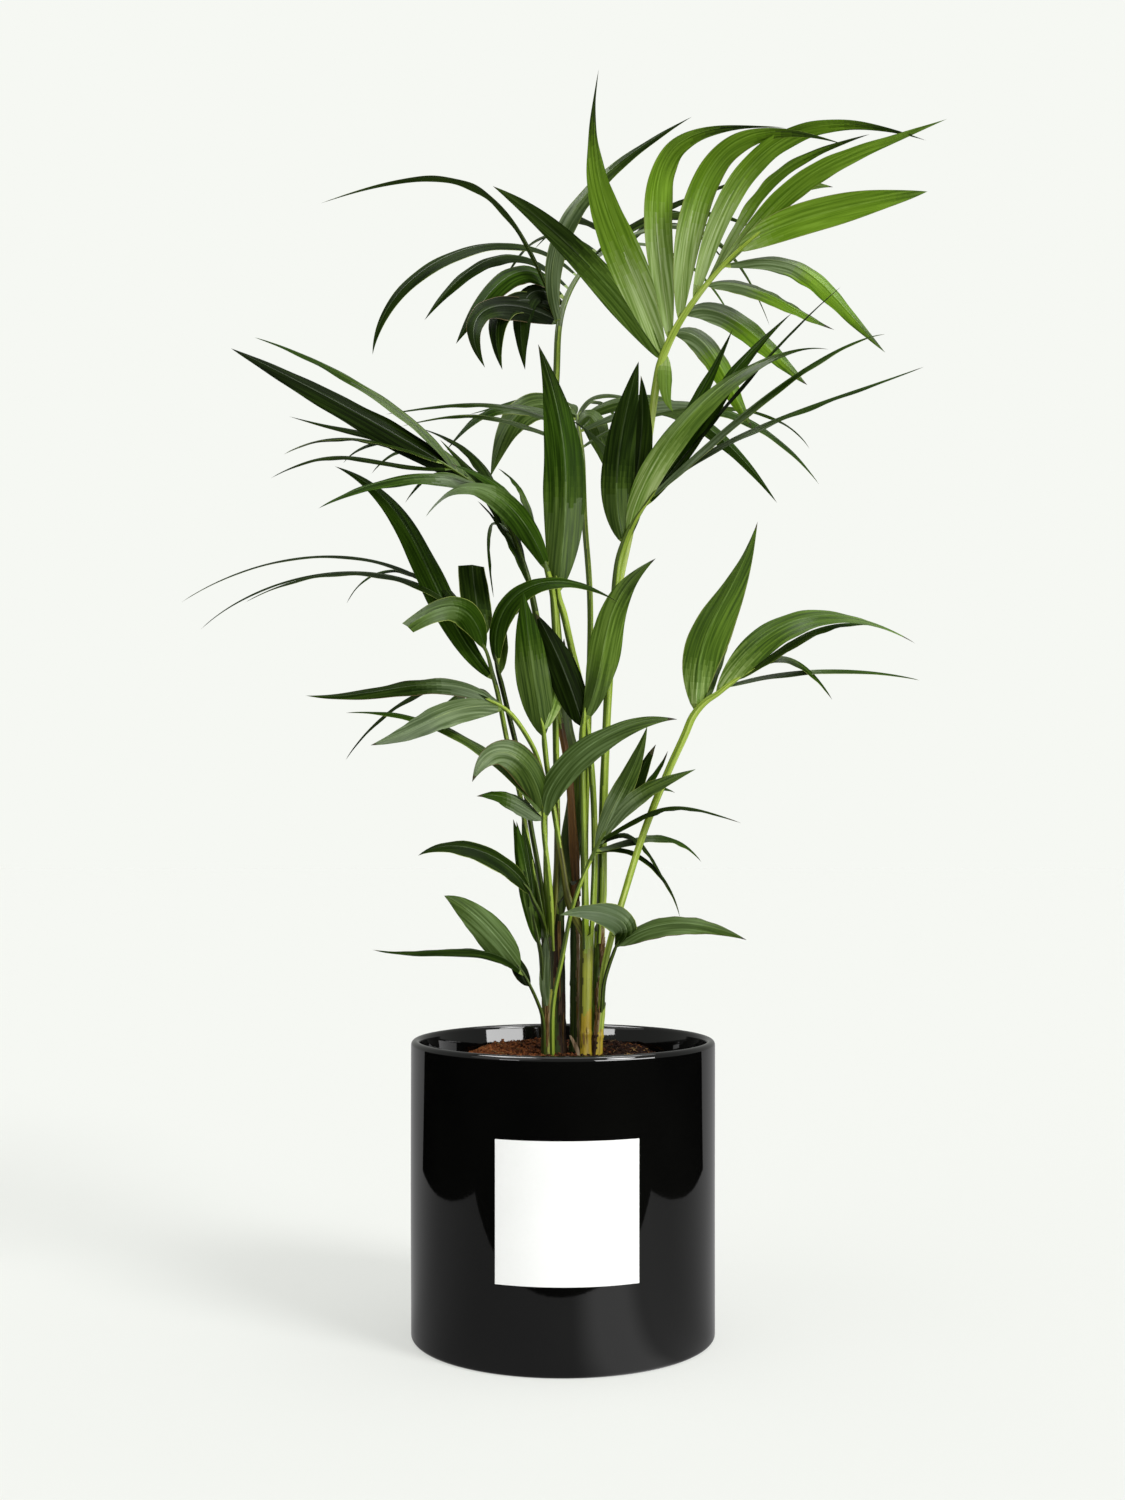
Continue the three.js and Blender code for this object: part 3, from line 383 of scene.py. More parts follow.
def wander(rng, waves, count=5):
    """A smooth seeded wave of amplitude about 1 over shares from 0 to 1."""
    pace = rng.uniform(0.4, 1.0, count) * waves
    phase = rng.uniform(0, FULL_TURN, count)
    size = rng.uniform(0.4, 1.0, count)

    def value(share):
        return (size * np.sin(FULL_TURN * pace * share[..., None] + phase)).sum(-1) / size.sum()

    return value


def polar(radius, theta, height):
    """Points at these radii and angles round the pot's axis."""
    return np.stack(np.broadcast_arrays(radius * np.cos(theta), radius * np.sin(theta), height), -1)


def round_angles(columns):
    """Angles of the columns of a closed grid."""
    return np.linspace(0, FULL_TURN, columns, endpoint=False)


def seeded(*keys):
    """Random draws of a piece's own."""
    return np.random.default_rng([SEED, *keys])


# ------------------------------------------------------------------------------ mesh making

UV_UNIT = 100.0


def mapped(across, along, rng):
    """Map of a grid by the reach across and the run along it, with a start of its own."""
    reach = np.stack(np.broadcast_arrays(across, along), -1) / UV_UNIT
    return reach + rng.uniform(0, 50, 2)


def shown(name, data):
    """The scene's object of this data."""
    thing = bpy.data.objects.new(name, data)
    bpy.context.scene.collection.objects.link(thing)
    return thing


class Batch:
    """One mesh grown from grids and small shapes, each face with its own material."""

    def __init__(self):
        self.points = []
        self.maps = []
        self.faces = []
        self.kinds = []
        self.count = 0

    def add(self, points, faces, kinds, uv=None):
        """Adds points in mm, faces (m, sides) and the material name of all or of each."""
        points = points.reshape(-1, 3)
        self.points.append(points)
        self.maps.append(points[:, :2] / UV_UNIT if uv is None else uv.reshape(-1, 2))
        self.faces.append(faces + self.count)
        self.kinds += np.broadcast_to(kinds, len(faces)).tolist()
        self.count += len(points)

    def grid(self, points, kinds, uv=None, closed=False, flip=False):
        """Adds a grid (rows, columns, 3). kinds is one name or a name for each face."""
        index = np.arange(points[..., 0].size).reshape(points.shape[:2])
        right = np.roll(index, -1, 1) if closed else index[:, 1:]
        left = index if closed else index[:, :-1]
        faces = np.stack([left[:-1], right[:-1], right[1:], left[1:]], -1).reshape(-1, 4)
        self.add(points, faces[:, [0, 3, 2, 1]] if flip else faces, np.ravel(kinds), uv)

    def piece(self, name, slot, *nodes, smooth=True):
        """Makes the piece, in metres, and hides the parts of the model that it stands for; slot is not
        used.
        """
        mesh = bpy.data.meshes.new(name)
        corners = np.concatenate([faces.ravel() for faces in self.faces])
        sides = np.concatenate([np.full(len(faces), faces.shape[1]) for faces in self.faces])
        used, slots = np.unique(self.kinds, return_inverse=True)
        mesh.vertices.add(self.count)
        mesh.loops.add(len(corners))
        mesh.polygons.add(len(sides))
        for target, key, values, sort in (
                (mesh.vertices, "co", np.vstack(self.points) * MM, np.float32),
                (mesh.loops, "vertex_index", corners, np.int32),
                (mesh.polygons, "loop_start", np.cumsum(sides) - sides, np.int32),
                (mesh.polygons, "material_index", slots, np.int32),
                (mesh.polygons, "use_smooth", np.full(len(sides), smooth), bool)):
            target.foreach_set(key, values.astype(sort).ravel())
        mesh.update(calc_edges=True)
        layer = mesh.uv_layers.new(name="Grain")
        layer.uv.foreach_set("vector", np.vstack(self.maps)[corners].astype(np.float32).ravel())
        for kind in used:
            mesh.materials.append(materials[kind])
        mesh.validate()
        thing = shown(name, mesh)
        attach(thing, "root")
        if nodes:
            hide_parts(*nodes)


# -------------------------------------------------------------------------------- materials


def linear(colour):
    """A colour written as #rrggbb, or a grey as a number, in linear light with alpha."""
    if not isinstance(colour, str):
        return [colour] * 3 + [1.0]
    parts = [int(colour[i:i + 2], 16) / 255 for i in (1, 3, 5)]
    return [c / 12.92 if c <= 0.04045 else ((c + 0.055) / 1.055) ** 2.4 for c in parts] + [1.0]


def blended(first, second, share):
    """A colour between two, all written as #rrggbb."""
    pairs = [(int(first[i:i + 2], 16), int(second[i:i + 2], 16)) for i in (1, 3, 5)]
    return "#" + "".join(f"{round(low + (high - low) * share):02x}" for low, high in pairs)


class Look:
    """A material in the making."""

    def __init__(self, name, **sockets):
        self.material = bpy.data.materials.new(name)
        self.material.use_nodes = True
        self.tree = self.material.node_tree
        self.finish(**sockets)

    def feed(self, node, sockets):
        """Gives a node's inputs their values, or links them to the outputs given."""
        for socket, value in sockets.items():
            socket = node.inputs[socket.replace("_", " ")]
            if isinstance(value, bpy.types.NodeSocket):
                self.tree.links.new(value, socket)
            else:
                socket.default_value = value

    def finish(self, **sockets):
        """Feeds the shader."""
        self.feed(self.tree.nodes["Principled BSDF"], sockets)

    def node(self, kind, output, settings=None, **sockets):
        """Output of a new node, whose settings are made before its inputs are fed."""
        made = self.tree.nodes.new("ShaderNode" + kind)
        for key, value in (settings or {}).items():
            setattr(made, key, value)
        self.feed(made, sockets)
        return made.outputs[output]

    def noise(self, space, scale, detail, roughness=0.55):
        """Noise in UV or Object space, drawn out by the scale."""
        place = self.node("Mapping", "Vector", Vector=self.node("TexCoord", space), Scale=scale)
        return self.node("TexNoise", "Fac", Vector=place, Scale=1.0, Detail=detail, Roughness=roughness)

    def ramp(self, value, stops, interpolation="LINEAR"):
        """Colours by value: stops are (place, colour)."""
        made = self.tree.nodes.new("ShaderNodeValToRGB")
        made.color_ramp.interpolation = interpolation
        elements = made.color_ramp.elements
        while len(elements) < len(stops):
            elements.new(0.5)
        for element, (place, colour) in zip(elements, stops):
            element.position = place
            element.color = linear(colour)
        self.feed(made, {"Fac": value})
        return made.outputs["Color"]

    def spread(self, value, low, high, start=0.3, end=0.7):
        """The value's range from start to end, drawn out from low to high."""
        return self.node("MapRange", "Result", Value=value, From_Min=start, From_Max=end,
                         To_Min=low, To_Max=high)


# Kinds of surface. shader is roughness, specular level and, for some, index of refraction. A
# grain is noise in a space: its scale there, its detail and, for some, its roughness. The
# colours from dark to pale stand at the stops of the main grain. Patches are (grain, number of
# the colour, most of it, start and end of the grain's range). rough is (grain, least and most
# that it adds to the roughness). Relief is (grain, strength, depth in metres). Where a grain is
# None, it is the main one.
SURFACES = {
    "leaf": {
        "shader": (0.38, 0.14, 1.42), "grain": ("UV", (50, 1.4, 1), 2), "stops": (0.38, 0.5, 0.64),
        "patches": [(("UV", (9, 1.1, 1), 3), 0, 0.5, 0.3, 0.7),
                    (("UV", (55, 38, 1), 1), 3, 0.4, 0.8, 0.86)],
        "rough": (None, -0.08, 0.1), "relief": [(("UV", (45, 0.8, 1), 0), 0.25, 0.0002)],
    },
    "vein": {
        "shader": (0.45, 0.2, 1.42), "grain": ("UV", (60, 5, 1), 4), "stops": (0.35, 0.65),
        "relief": [(None, 0.25, 0.0002)],
    },
    "stalk": {
        "shader": (0.36, 0.3, 1.45), "grain": ("UV", (14, 1, 1), 5), "stops": (0.34, 0.5, 0.66),
        "patches": [(("UV", (2.2, 1.6, 1), 3), 0, 0.5, 0.3, 0.7),
                    (("UV", (40, 30, 1), 2), 0, 0.6, 0.64, 0.72)],
        "rough": (None, 0.0, 0.14), "relief": [(None, 0.3, 0.0004)],
    },
    "bark": {
        "shader": (0.75, 0.2), "grain": ("UV", (22, 1.4, 1), 8, 0.65), "stops": (0.32, 0.5, 0.68),
        "patches": [(("Object", (60, 60, 25), 5), 0, 0.7, 0.42, 0.62)],
        "rough": (None, -0.15, 0.1), "relief": [(None, 0.7, 0.0008)],
    },
    "soil": {
        "shader": (0.95, 0.1), "grain": ("Object", (140, 140, 140), 6, 0.65),
        "stops": (0.35, 0.5, 0.65), "patches": [(("Object", (700, 700, 700), 4), 0, 0.6, 0.3, 0.7)],
        "relief": [(("Object", (700, 700, 700), 4), 0.8, 0.0008)],
    },
    "glaze": {
        "shader": (0.04, 0.5, 1.5), "grain": ("Object", (9, 9, 5), 2), "stops": (0.3, 0.7),
        "rough": (("Object", (420, 420, 420), 2), -0.02, 0.01),
        "relief": [(None, 0.25, 0.0006), (("Object", (420, 420, 420), 2), 0.04, 0.0001)],
    },
    "clay": {
        "shader": (0.8, 0.5), "grain": ("Object", (500, 500, 500), 5), "stops": (0.3, 0.7),
        "relief": [(None, 0.4, 0.0003)],
    },
    "paper": {
        "shader": (0.55, 0.5, 1.4), "grain": ("Object", (14, 14, 14), 3), "stops": (0.3, 0.7),
        "patches": [(("Object", (300, 300, 300), 6), 2, 0.1, 0.3, 0.7)],
        "relief": [(("Object", (300, 300, 300), 6), 0.12, 0.00008)],
    },
}
# Finishes: kind of surface, colours and, where they aren't the kind's own, the roughness and
# the depth of relief.
FINISHES = {
    "leaf_base": ("stalk", "#4d6520 #7f9638 #a5b956", 0.4),
    "leaf_tip_dry": ("bark", "#24220e #3c3a1a #5f5a30"),
    "leaf_edge_green": ("vein", "#66772a #8a9648"),
    "leaf_edge_brown": ("vein", "#43371a #6a5a34"),
    "stalk_green": ("stalk", "#627c1a #97b02e #c2d45e"),
    "stalk_lime": ("stalk", "#7a9424 #a9c244 #d6e482"),
    "stalk_dark": ("stalk", "#2a3a08 #485c14 #6e8428"),
    "stalk_moss": ("stalk", "#33450c #4f6418 #6c8428"),
    "stalk_black": ("stalk", "#182204 #2b380e #44551a"),
    "stalk_pea": ("stalk", "#757a1e #949a2c #adb040"),
    "stalk_yellow": ("stalk", "#7a660e #b39a22 #d0b840"),
    "stalk_brown": ("stalk", "#3c280d #6f4a1e #977039", 0.5),
    "stalk_olive": ("stalk", "#37360d #5d5f1c #7f8030", 0.45),
    "sheath_green": ("stalk", "#202e09 #3b4e16 #566a28", 0.5),
    "sheath_dark": ("bark", "#171b06 #2f3511 #4c5222", 0.6, 0.0005),
    "sheath_brown": ("bark", "#1f1208 #3f2b19 #75563c"),
    "sheath_tan": ("bark", "#4a3316 #8a6a38 #b8945a"),
    "papery": ("bark", "#6a5238 #a58d6c #d6c3a4", 0.8, 0.0006),
    "soil_orange": ("soil", "#36190a #78431f #a86a3c"),
    "soil_brown": ("soil", "#200f06 #4c2812 #764424"),
    "soil_dark": ("soil", "#100804 #26140c #43281a"),
    "pot_glaze": ("glaze", "#050505 #0a0a09"),
    "pot_foot": ("clay", "#2a2623 #3b3531"),
    "label_paper": ("paper", "#fafafa #fefefe #e8e8e6"),
}
# Skins of leaf: colours of the upper side and of the underside, each from dark to pale. Several hold
# painted light as well as the leaf's own colour: painted sheen in the grey-green skins, painted glow of
# light through the blade in lime, and painted shade in black and dark.
LEAF_SKINS = {
    # black and dark are partly the leaf's own deep green, partly painted shade on leaflets turned from
    # the light.
    "black": ("#0b1402 #131f03 #20300a", "#131e04 #1c2b08 #2a3a12"),
    # Dark green greyed by painted sheen.
    "soot": ("#10180a #1d2711 #333d28", "#1b2412 #2a3520 #404a34"),
    "dark": ("#142205 #20310a #314413", "#1d2c09 #2c3e12 #3c4f1e"),
    "rich": ("#1c3006 #2c450b #3d5a15", "#28390d #374f16 #486124"),
    "mid": ("#2c400f #42591b #586f2c", "#384d19 #4c6326 #5f7638"),
    "olive": ("#384c19 #4e6528 #667e3b", "#455a24 #5a7034 #6e8548"),
    "fresh": ("#36500e #4d6c18 #668626", "#435e19 #587526 #6e8d38"),
    "light": ("#486418 #5f7c26 #78963a", "#526e26 #688636 #809c4c"),
    # Partly the leaf's own yellow-green, partly painted glow of light through the blade.
    "lime": ("#4d700a #628612 #779c1e", "#567816 #6b8e20 #80a432"),
    "pale": ("#5f7e2c #8fa658 #b4c684", "#68833a #8ea45e #acc084"),
    # This skin and the next two are grey-green painted sheen on upper sides.
    "grey": ("#3f502d #566742 #738460", "#43552f #56693f #6c7f55"),
    "ash": ("#475a2f #62744a #82946a", "#4d602f #667846 #82945f"),
    "silver": ("#455636 #4e5f3e #5b6c4b", "#485a33 #54653e #627350"),
    # A milder grey-green painted sheen.
    "soft": ("#394d1c #4f6530 #68804a", "#435a24 #587036 #6e8650"),
}
# Tones of leaflets: their skins from base to tip, each up to this share of the length. The tones named
# for sheen or shine, and those that run through the grey-green skins, lay painted sheen along the
# blade.
LEAF_TONES = {
    "black": ((1.0, "black"),),
    "soot": ((0.45, "soot"), (1.0, "dark")),
    "dark": ((1.0, "dark"),),
    "darkstripe": ((0.35, "mid"), (1.0, "dark")),
    "deep": ((0.5, "fresh"), (1.0, "dark")),
    "rich": ((0.85, "rich"), (1.0, "dark")),
    "mid": ((0.6, "mid"), (1.0, "rich")),
    "olive": ((0.5, "olive"), (1.0, "mid")),
    "fresh": ((0.12, "pale"), (1.0, "fresh")),
    "light": ((0.2, "pale"), (1.0, "light")),
    "lime": ((0.14, "pale"), (0.85, "lime"), (1.0, "fresh")),
    "limestripe": ((0.3, "pale"), (0.8, "lime"), (1.0, "dark")),
    "sheenlime": ((0.4, "ash"), (0.85, "lime"), (1.0, "mid")),
    "grey": ((0.5, "grey"), (1.0, "rich")),
    "greydark": ((0.5, "ash"), (0.72, "mid"), (1.0, "dark")),
    "greylight": ((0.22, "olive"), (0.72, "light"), (1.0, "mid")),
    "soft": ((0.7, "soft"), (1.0, "mid")),
    "greyshine": ((0.5, "ash"), (1.0, "grey")),
    "greydeep": ((0.4, "grey"), (1.0, "dark")),
    "midstripe": ((0.3, "pale"), (0.6, "light"), (0.82, "mid"), (1.0, "dark")),
    "sheenend": ((0.4, "rich"), (0.85, "soft"), (1.0, "mid")),
    "tipsheen": ((0.4, "mid"), (0.9, "ash"), (1.0, "grey")),
    "deeptall": ((0.4, "mid"), (0.8, "rich"), (1.0, "dark")),
    "sheathgrey": ((0.6, "ash"), (1.0, "grey")),
    "silver": ((0.22, "dark"), (0.4, "grey"), (0.9, "silver"), (1.0, "ash")),
    "greystripe": ((0.45, "ash"), (1.0, "mid")),
}
BLEND_STEPS = 4
BLEND_REACH = 0.09
# Each side of a leaf: which colours it takes, its roughness and its gloss.
LEAF_SIDES = {"upper": (0, 0.38, 0.14), "under": (1, 0.5, 0.06)}
DARK_SKINS = ("black", "soot", "dark", "rich")
DARK_GLOSS = 0.02
LEAF_SPECK = "#e8ecd8"


def surface(name, kind, colours, roughness=None, depth=None, gloss=None):
    """Material of a kind of surface, with its colours from dark to pale."""
    plan = SURFACES[kind]
    plain_roughness, plain_gloss, *refraction = plan["shader"]
    roughness = roughness or plain_roughness
    look = Look(name, Roughness=roughness, Specular_IOR_Level=gloss or plain_gloss)
    for value in refraction:
        look.finish(IOR=value)
    grains = {None: look.noise(*plan["grain"])}

    def grain(which):
        """The main grain, or another of the kind's grains, made when new."""
        if which not in grains:
            grains[which] = look.noise(*which)
        return grains[which]

    tone = look.ramp(grain(None), list(zip(plan["stops"], colours)))
    for which, number, most, start, end in plan.get("patches", ()):
        share = look.spread(grain(which), 0.0, most, start, end)
        tone = look.node("Mix", "Result", {"data_type": "RGBA"}, Factor=share, A=tone,
                         B=linear(colours[number]))
    look.finish(Base_Color=tone)
    if "rough" in plan:
        which, low, high = plan["rough"]
        look.finish(Roughness=look.spread(grain(which), roughness + low, roughness + high))
    under = {}
    for which, strength, plain_depth in plan["relief"]:
        under = {"Normal": look.node("Bump", "Normal", Height=grain(which), Strength=strength,
                                     Distance=depth or plain_depth, **under)}
    look.finish(**under)
    return look.material


def leaf_skin(first, second, level, side):
    """Name of the material level / BLEND_STEPS of the way between two skins, made when new."""
    if level == 0:
        second = first
    if level == BLEND_STEPS or first == second:
        first, level = second, 0
    name = f"leaf_{first}_{second}_{level}_{side}" if level else f"leaf_{first}_{side}"
    if name not in materials:
        which, roughness, gloss = LEAF_SIDES[side]
        if first in DARK_SKINS or second in DARK_SKINS:
            gloss = DARK_GLOSS
        pairs = zip(LEAF_SKINS[first][which].split(), LEAF_SKINS[second][which].split())
        tones = [blended(low, high, level / BLEND_STEPS) for low, high in pairs]
        tones.append(blended(tones[-1], LEAF_SPECK, 0.5))
        materials[name] = surface(name, "leaf", tones, roughness, gloss=gloss)
    return name


def vein_at(tone, share):
    """Material of a leaflet's midrib at this share of its length."""
    zones = LEAF_TONES[tone]
    return "vein_" + next((skin for limit, skin in zones if share < limit), zones[-1][1])


def skin_at(tone, share, side):
    """Material of a leaflet at this share of its length."""
    zones = LEAF_TONES[tone]
    for (limit, skin), (_, following) in zip(zones, zones[1:]):
        if share < limit + BLEND_REACH:
            level = BLEND_STEPS * (share - limit + BLEND_REACH) / (2 * BLEND_REACH)
            return leaf_skin(skin, following, int(np.clip(round(level), 0, BLEND_STEPS)), side)
    return leaf_skin(zones[-1][1], zones[-1][1], 0, side)


def make_materials():
    """All materials but the leaves' own, which are made as they are met."""
    made = {}
    for skin, (upper, under) in LEAF_SKINS.items():
        colours = [upper.split()[1], under.split()[2]]
        made[f"vein_{skin}"] = surface(f"vein_{skin}", "vein", colours)
    for name, (kind, colours, *values) in FINISHES.items():
        made[name] = surface(name, kind, colours.split(), *values)
    return made


# -------------------------------------------------------------------------------- the fronds

BLADE_COLUMNS = np.array([-1, -0.95, -0.82, -0.68, -0.54, -0.42, -0.29, -0.17, -0.05,
                          0, 0.05, 0.17, 0.29, 0.42, 0.54, 0.68, 0.82, 0.95, 1.0])
BLADE_STEP = 5.0
BLADE_STEPS = (14, 64)
BLADE_SHEET = 0.5
BLADE_FOLD = 0.24
BLADE_CURL = (-0.05, 0.12)
EDGE_LEAN = 0.06
# Share of a blade over which it closes to its tip.
BLADE_END = 0.03
# Share of a blade over which a bend is measured, and how much of the bend's radius the
# blade's inner half may fill.
BEND_SPAN = 0.1
BEND_FILL = 0.75
BASE_FOLD = 1.6
BASE_FOLD_REACH = 0.09
VEIN_RELIEF = 0.4
RIDGE = 0.006
EDGE_WAVE = 1.1
EDGE_SKINS = {"": 0.45, "leaf_edge_green": 0.4, "leaf_edge_brown": 0.15}
SKIN_RAGGED = 0.04
PALE_BASE = 0.035
DRY_TIPS = 0.6
DRY_REACH = (3, 12)
WAY_SPAN = 0.01

# Stalks: tone, how much stouter than its radii above its foot, how much wider it is where it
# clasps its cane and how far up, and for some the foot's own tone and the height it reaches.
STALKS = {
    "crown_right": ("stalk_lime", 1.7, 0.6, 60),
    "crown_left": ("stalk_green", 1.6, 2.0, 200, "stalk_dark", 590),
    "upper_left": ("stalk_green", 1.5, 0.5, 40, "stalk_brown", 560),
    "upper_left_front": ("stalk_green", 1.6, 1.5, 150, "stalk_olive", 480),
    "upper_back": ("stalk_green", 1.4, 1.3, 130),
    "upper_right": ("stalk_green", 1.6, 0.9, 80),
    "centre_tall": ("stalk_green", 1.5, 0.8, 110),
    "left_dark": ("stalk_green", 1.3, 3.2, 60, "stalk_dark", 430),
    "left_arch": ("stalk_dark", 1.4, 1.7, 80, "stalk_dark", 450),
    "lower_left": ("stalk_green", 1.3, 0.9, 35),
    "centre_left_blade": ("stalk_green", 1.3, 0.9, 35, "stalk_olive", 450),
    "centre_bifid": ("stalk_green", 1.3, 0.9, 35),
    "low_centre": ("stalk_green", 1.3, 1.2, 40),
    "low_left_blade": ("stalk_dark", 1.3, 0.9, 35),
    "spears": ("stalk_dark", 1.3, 0.9, 35),
    "foot_left": ("stalk_dark", 1.1, 0.9, 35),
    "low_right_fan": ("stalk_green", 1.3, 0.4, 30),
    "right_tall": ("stalk_lime", 1.55, 0.9, 35),
    "foot_right": ("stalk_dark", 1.0, 0.9, 35),
}
# Tone of a stalk's margins and of its left side, which is painted shade on the side away from the key
# light, by its own tone.
MARGIN_AND_SHADE_TONES = {"stalk_lime": "stalk_green", "stalk_green": "stalk_moss", "stalk_dark": "stalk_black"}
DARK_RIBS = ("upper_left", "crown_left", "left_dark", "upper_left_front", "low_right_fan")
# Heading of the crown's middle, which the channels of the stalks face.
CLUMP_MIDDLE = np.array([8.0, 0.001, 0.0])
GIRTH_RISE = 30.0
# How far a stalk's surface turns to the left before it takes the deeper tone as painted shade.
SHADED_SIDE = -0.2
SHADE_RAGGED = 0.12
FOOT_RAGGED = 18.0
# The channel: its width and its margins as angles, its depth as a share of the radius, how much
# deeper it is at the foot and how far up.
CHANNEL_WIDTH = 0.6
MARGIN = (0.45, 0.85)
CHANNEL_DEPTH = 0.18
CHANNEL_FOOT_DEPTH = 0.2
CHANNEL_FOOT_REACH = 90.0
STALK_BUMPS = 0.03
STALK_COLUMNS = 28
STALK_SPACING = 5.0
STALK_ROOT = 16.0
STALK_PAST_TIP = 3.0
STALK_TIP_RADIUS = 0.25
RIB_END_SHARE = 0.8


def sweep_line(base, row, shares):
    """Centre line of a leaflet on the elevation, from its base to its tip."""
    tip = np.array(row[1:4], float)
    leave, arrive = math.radians(row[4]), math.radians(row[5])
    turn = math.atan2(math.sin(arrive - leave), math.cos(arrive - leave))
    angle = max(abs(turn), LEAST_TURN)
    chord = math.hypot(tip[0] - base[0], tip[1] - base[1])
    handle = row[6] * chord * (2 / 3) * math.tan(angle / 4) / math.sin(angle / 2)
    drift = (tip[2] - base[2]) / 3
    ahead = base + np.array([handle * math.cos(leave), handle * math.sin(leave), drift])
    behind = tip - np.array([handle * math.cos(arrive), handle * math.sin(arrive), drift])
    t = shares[:, None]
    s = 1 - t
    return placed(s**3 * base + 3 * s * s * t * ahead + 3 * s * t * t * behind + t**3 * tip)


def blade_width(shares, width, blunt):
    """Share of the full width that a blade has at these shares of its length."""
    root = BLADE_ROOT_WIDTH / width
    share = np.minimum(shares / BLADE_BROADEST, 1)
    rising = root + (1 - root) * np.sin(np.pi / 2 * share**BLADE_RISE)
    past = np.clip((shares - BLADE_BROADEST) / (1 - BLADE_BROADEST), 0, 1)
    return np.where(shares < BLADE_BROADEST, rising, 1 - (1 - blunt) * past**BLADE_TAPER)


def edge_reaches(base, row, t, across, half):
    """Reaches of both edges. Inside a bend an edge stays short of the bend's middle."""
    before, centre, after = (sweep_line(base, row, t + k * BEND_SPAN) for k in (-1, 0, 1))
    step = np.linalg.norm(after - before, axis=1) / 2
    bend = ((before + after - 2 * centre) * across).sum(1) / step**2
    inner = np.minimum(half, BEND_FILL / np.maximum(np.abs(bend), 1e-6))
    return np.stack([np.where(bend < 0, inner, half), np.where(bend > 0, inner, half)], -1)


def grow_leaflet(batch, base, row, rng):
    """Adds a leaflet's upper and under skins, which meet along its edges."""
    width, tone = row[7], row[10]
    blunt = row[11] if len(row) > 11 else 0.0
    length = run_lengths(sweep_line(base, row, np.linspace(0, 1, 24)))[-1]
    steps = int(np.clip(length / BLADE_STEP, *BLADE_STEPS))
    t = np.linspace(0, 1, steps + 1)
    centre = sweep_line(base, row, t)
    along = unit(sweep_line(base, row, np.minimum(t + WAY_SPAN, 1))
                 - sweep_line(base, row, np.maximum(t - WAY_SPAN, 0)))
    front = unit(np.array([0.0, -1.0, 0.0]) + along * along[:, 1:2])
    over = np.cross(front, along) * (1.0 if row[1] >= base[0] else -1.0)
    angle = np.radians(row[8] + row[9] * t)[:, None]
    facing = front * np.cos(angle) + over * np.sin(angle)
    across = np.cross(along, facing)
    u = BLADE_COLUMNS

    def sided(waves):
        """A wave along each half of the blade."""
        left, right = (wander(rng, waves)(t)[:, None] for _ in range(2))
        return np.where(u < 0, left, right)

    half = width * blade_width(t, width, blunt) / 2
    lean = 1 + EDGE_LEAN * sided(3)
    reach = edge_reaches(base, row, t, across, half)[:, (u > 0).astype(int)] * u * lean
    fold = BLADE_FOLD * (1 + BASE_FOLD * np.exp(-t / BASE_FOLD_REACH))
    curl = rng.uniform(*BLADE_CURL)
    ridges = RIDGE * np.where(np.arange(len(u)) % 2 == 0, 1, -1) * (1 - u**4)
    settle = np.sin(np.pi * np.clip(t, 0, 1))[:, None]
    waves = EDGE_WAVE * sided(7) * min(1.0, width / 20)
    lift = (ridges - fold[:, None] * np.abs(u) - curl * u**2 * settle) * half[:, None]
    lift += waves * u**2 * settle
    end = np.clip((1 - t) / BLADE_END, 0, 1)[:, None]
    sheet = BLADE_SHEET / 2 * np.sqrt(1 - u**2) * end
    vein = VEIN_RELIEF * (u == 0) * (1.15 - t)[:, None] * end
    uv = mapped(reach, run_lengths(centre)[:, None], rng)

    kinds = np.empty((steps, len(u) - 1), object)
    ragged = rng.uniform(-SKIN_RAGGED, SKIN_RAGGED, len(u) - 1)
    edge_skin = str(rng.choice(list(EDGE_SKINS), p=list(EDGE_SKINS.values())))
    dry = rng.random() < DRY_TIPS and not blunt
    dry_from = 1 - rng.uniform(*DRY_REACH) / length
    for side, sign in (("upper", 1.0), ("under", -1.0)):
        for i, j in np.ndindex(kinds.shape):
            share = t[i] + ragged[j]
            middle = abs(u[j] + u[j + 1]) < 0.1
            kinds[i, j] = vein_at(tone, share) if middle else skin_at(tone, share, side)
        if edge_skin:
            kinds[:, [0, -1]] = edge_skin
        kinds[t[1:] < PALE_BASE] = "leaf_base"
        if dry:
            kinds[t[:-1] > dry_from] = "leaf_tip_dry"
        points = (centre[:, None] + across[:, None] * reach[..., None]
                  + facing[:, None] * (lift + sign * (sheet + vein))[..., None])
        batch.grid(points, kinds, uv, flip=sign < 0)


def foot_level(foot):
    """Height where a stalk starts: GAP over its cane's top or over the soil below it."""
    if foot[2] < SOIL_RIDGE:
        return SOIL_TOP + GAP
    for cane in CANES.values():
        top = placed(cane["top"])
        if math.hypot(foot[0] - top[0], foot[1] - top[1]) < cane["radii"][1]:
            return top[2] + GAP
    return foot[2]


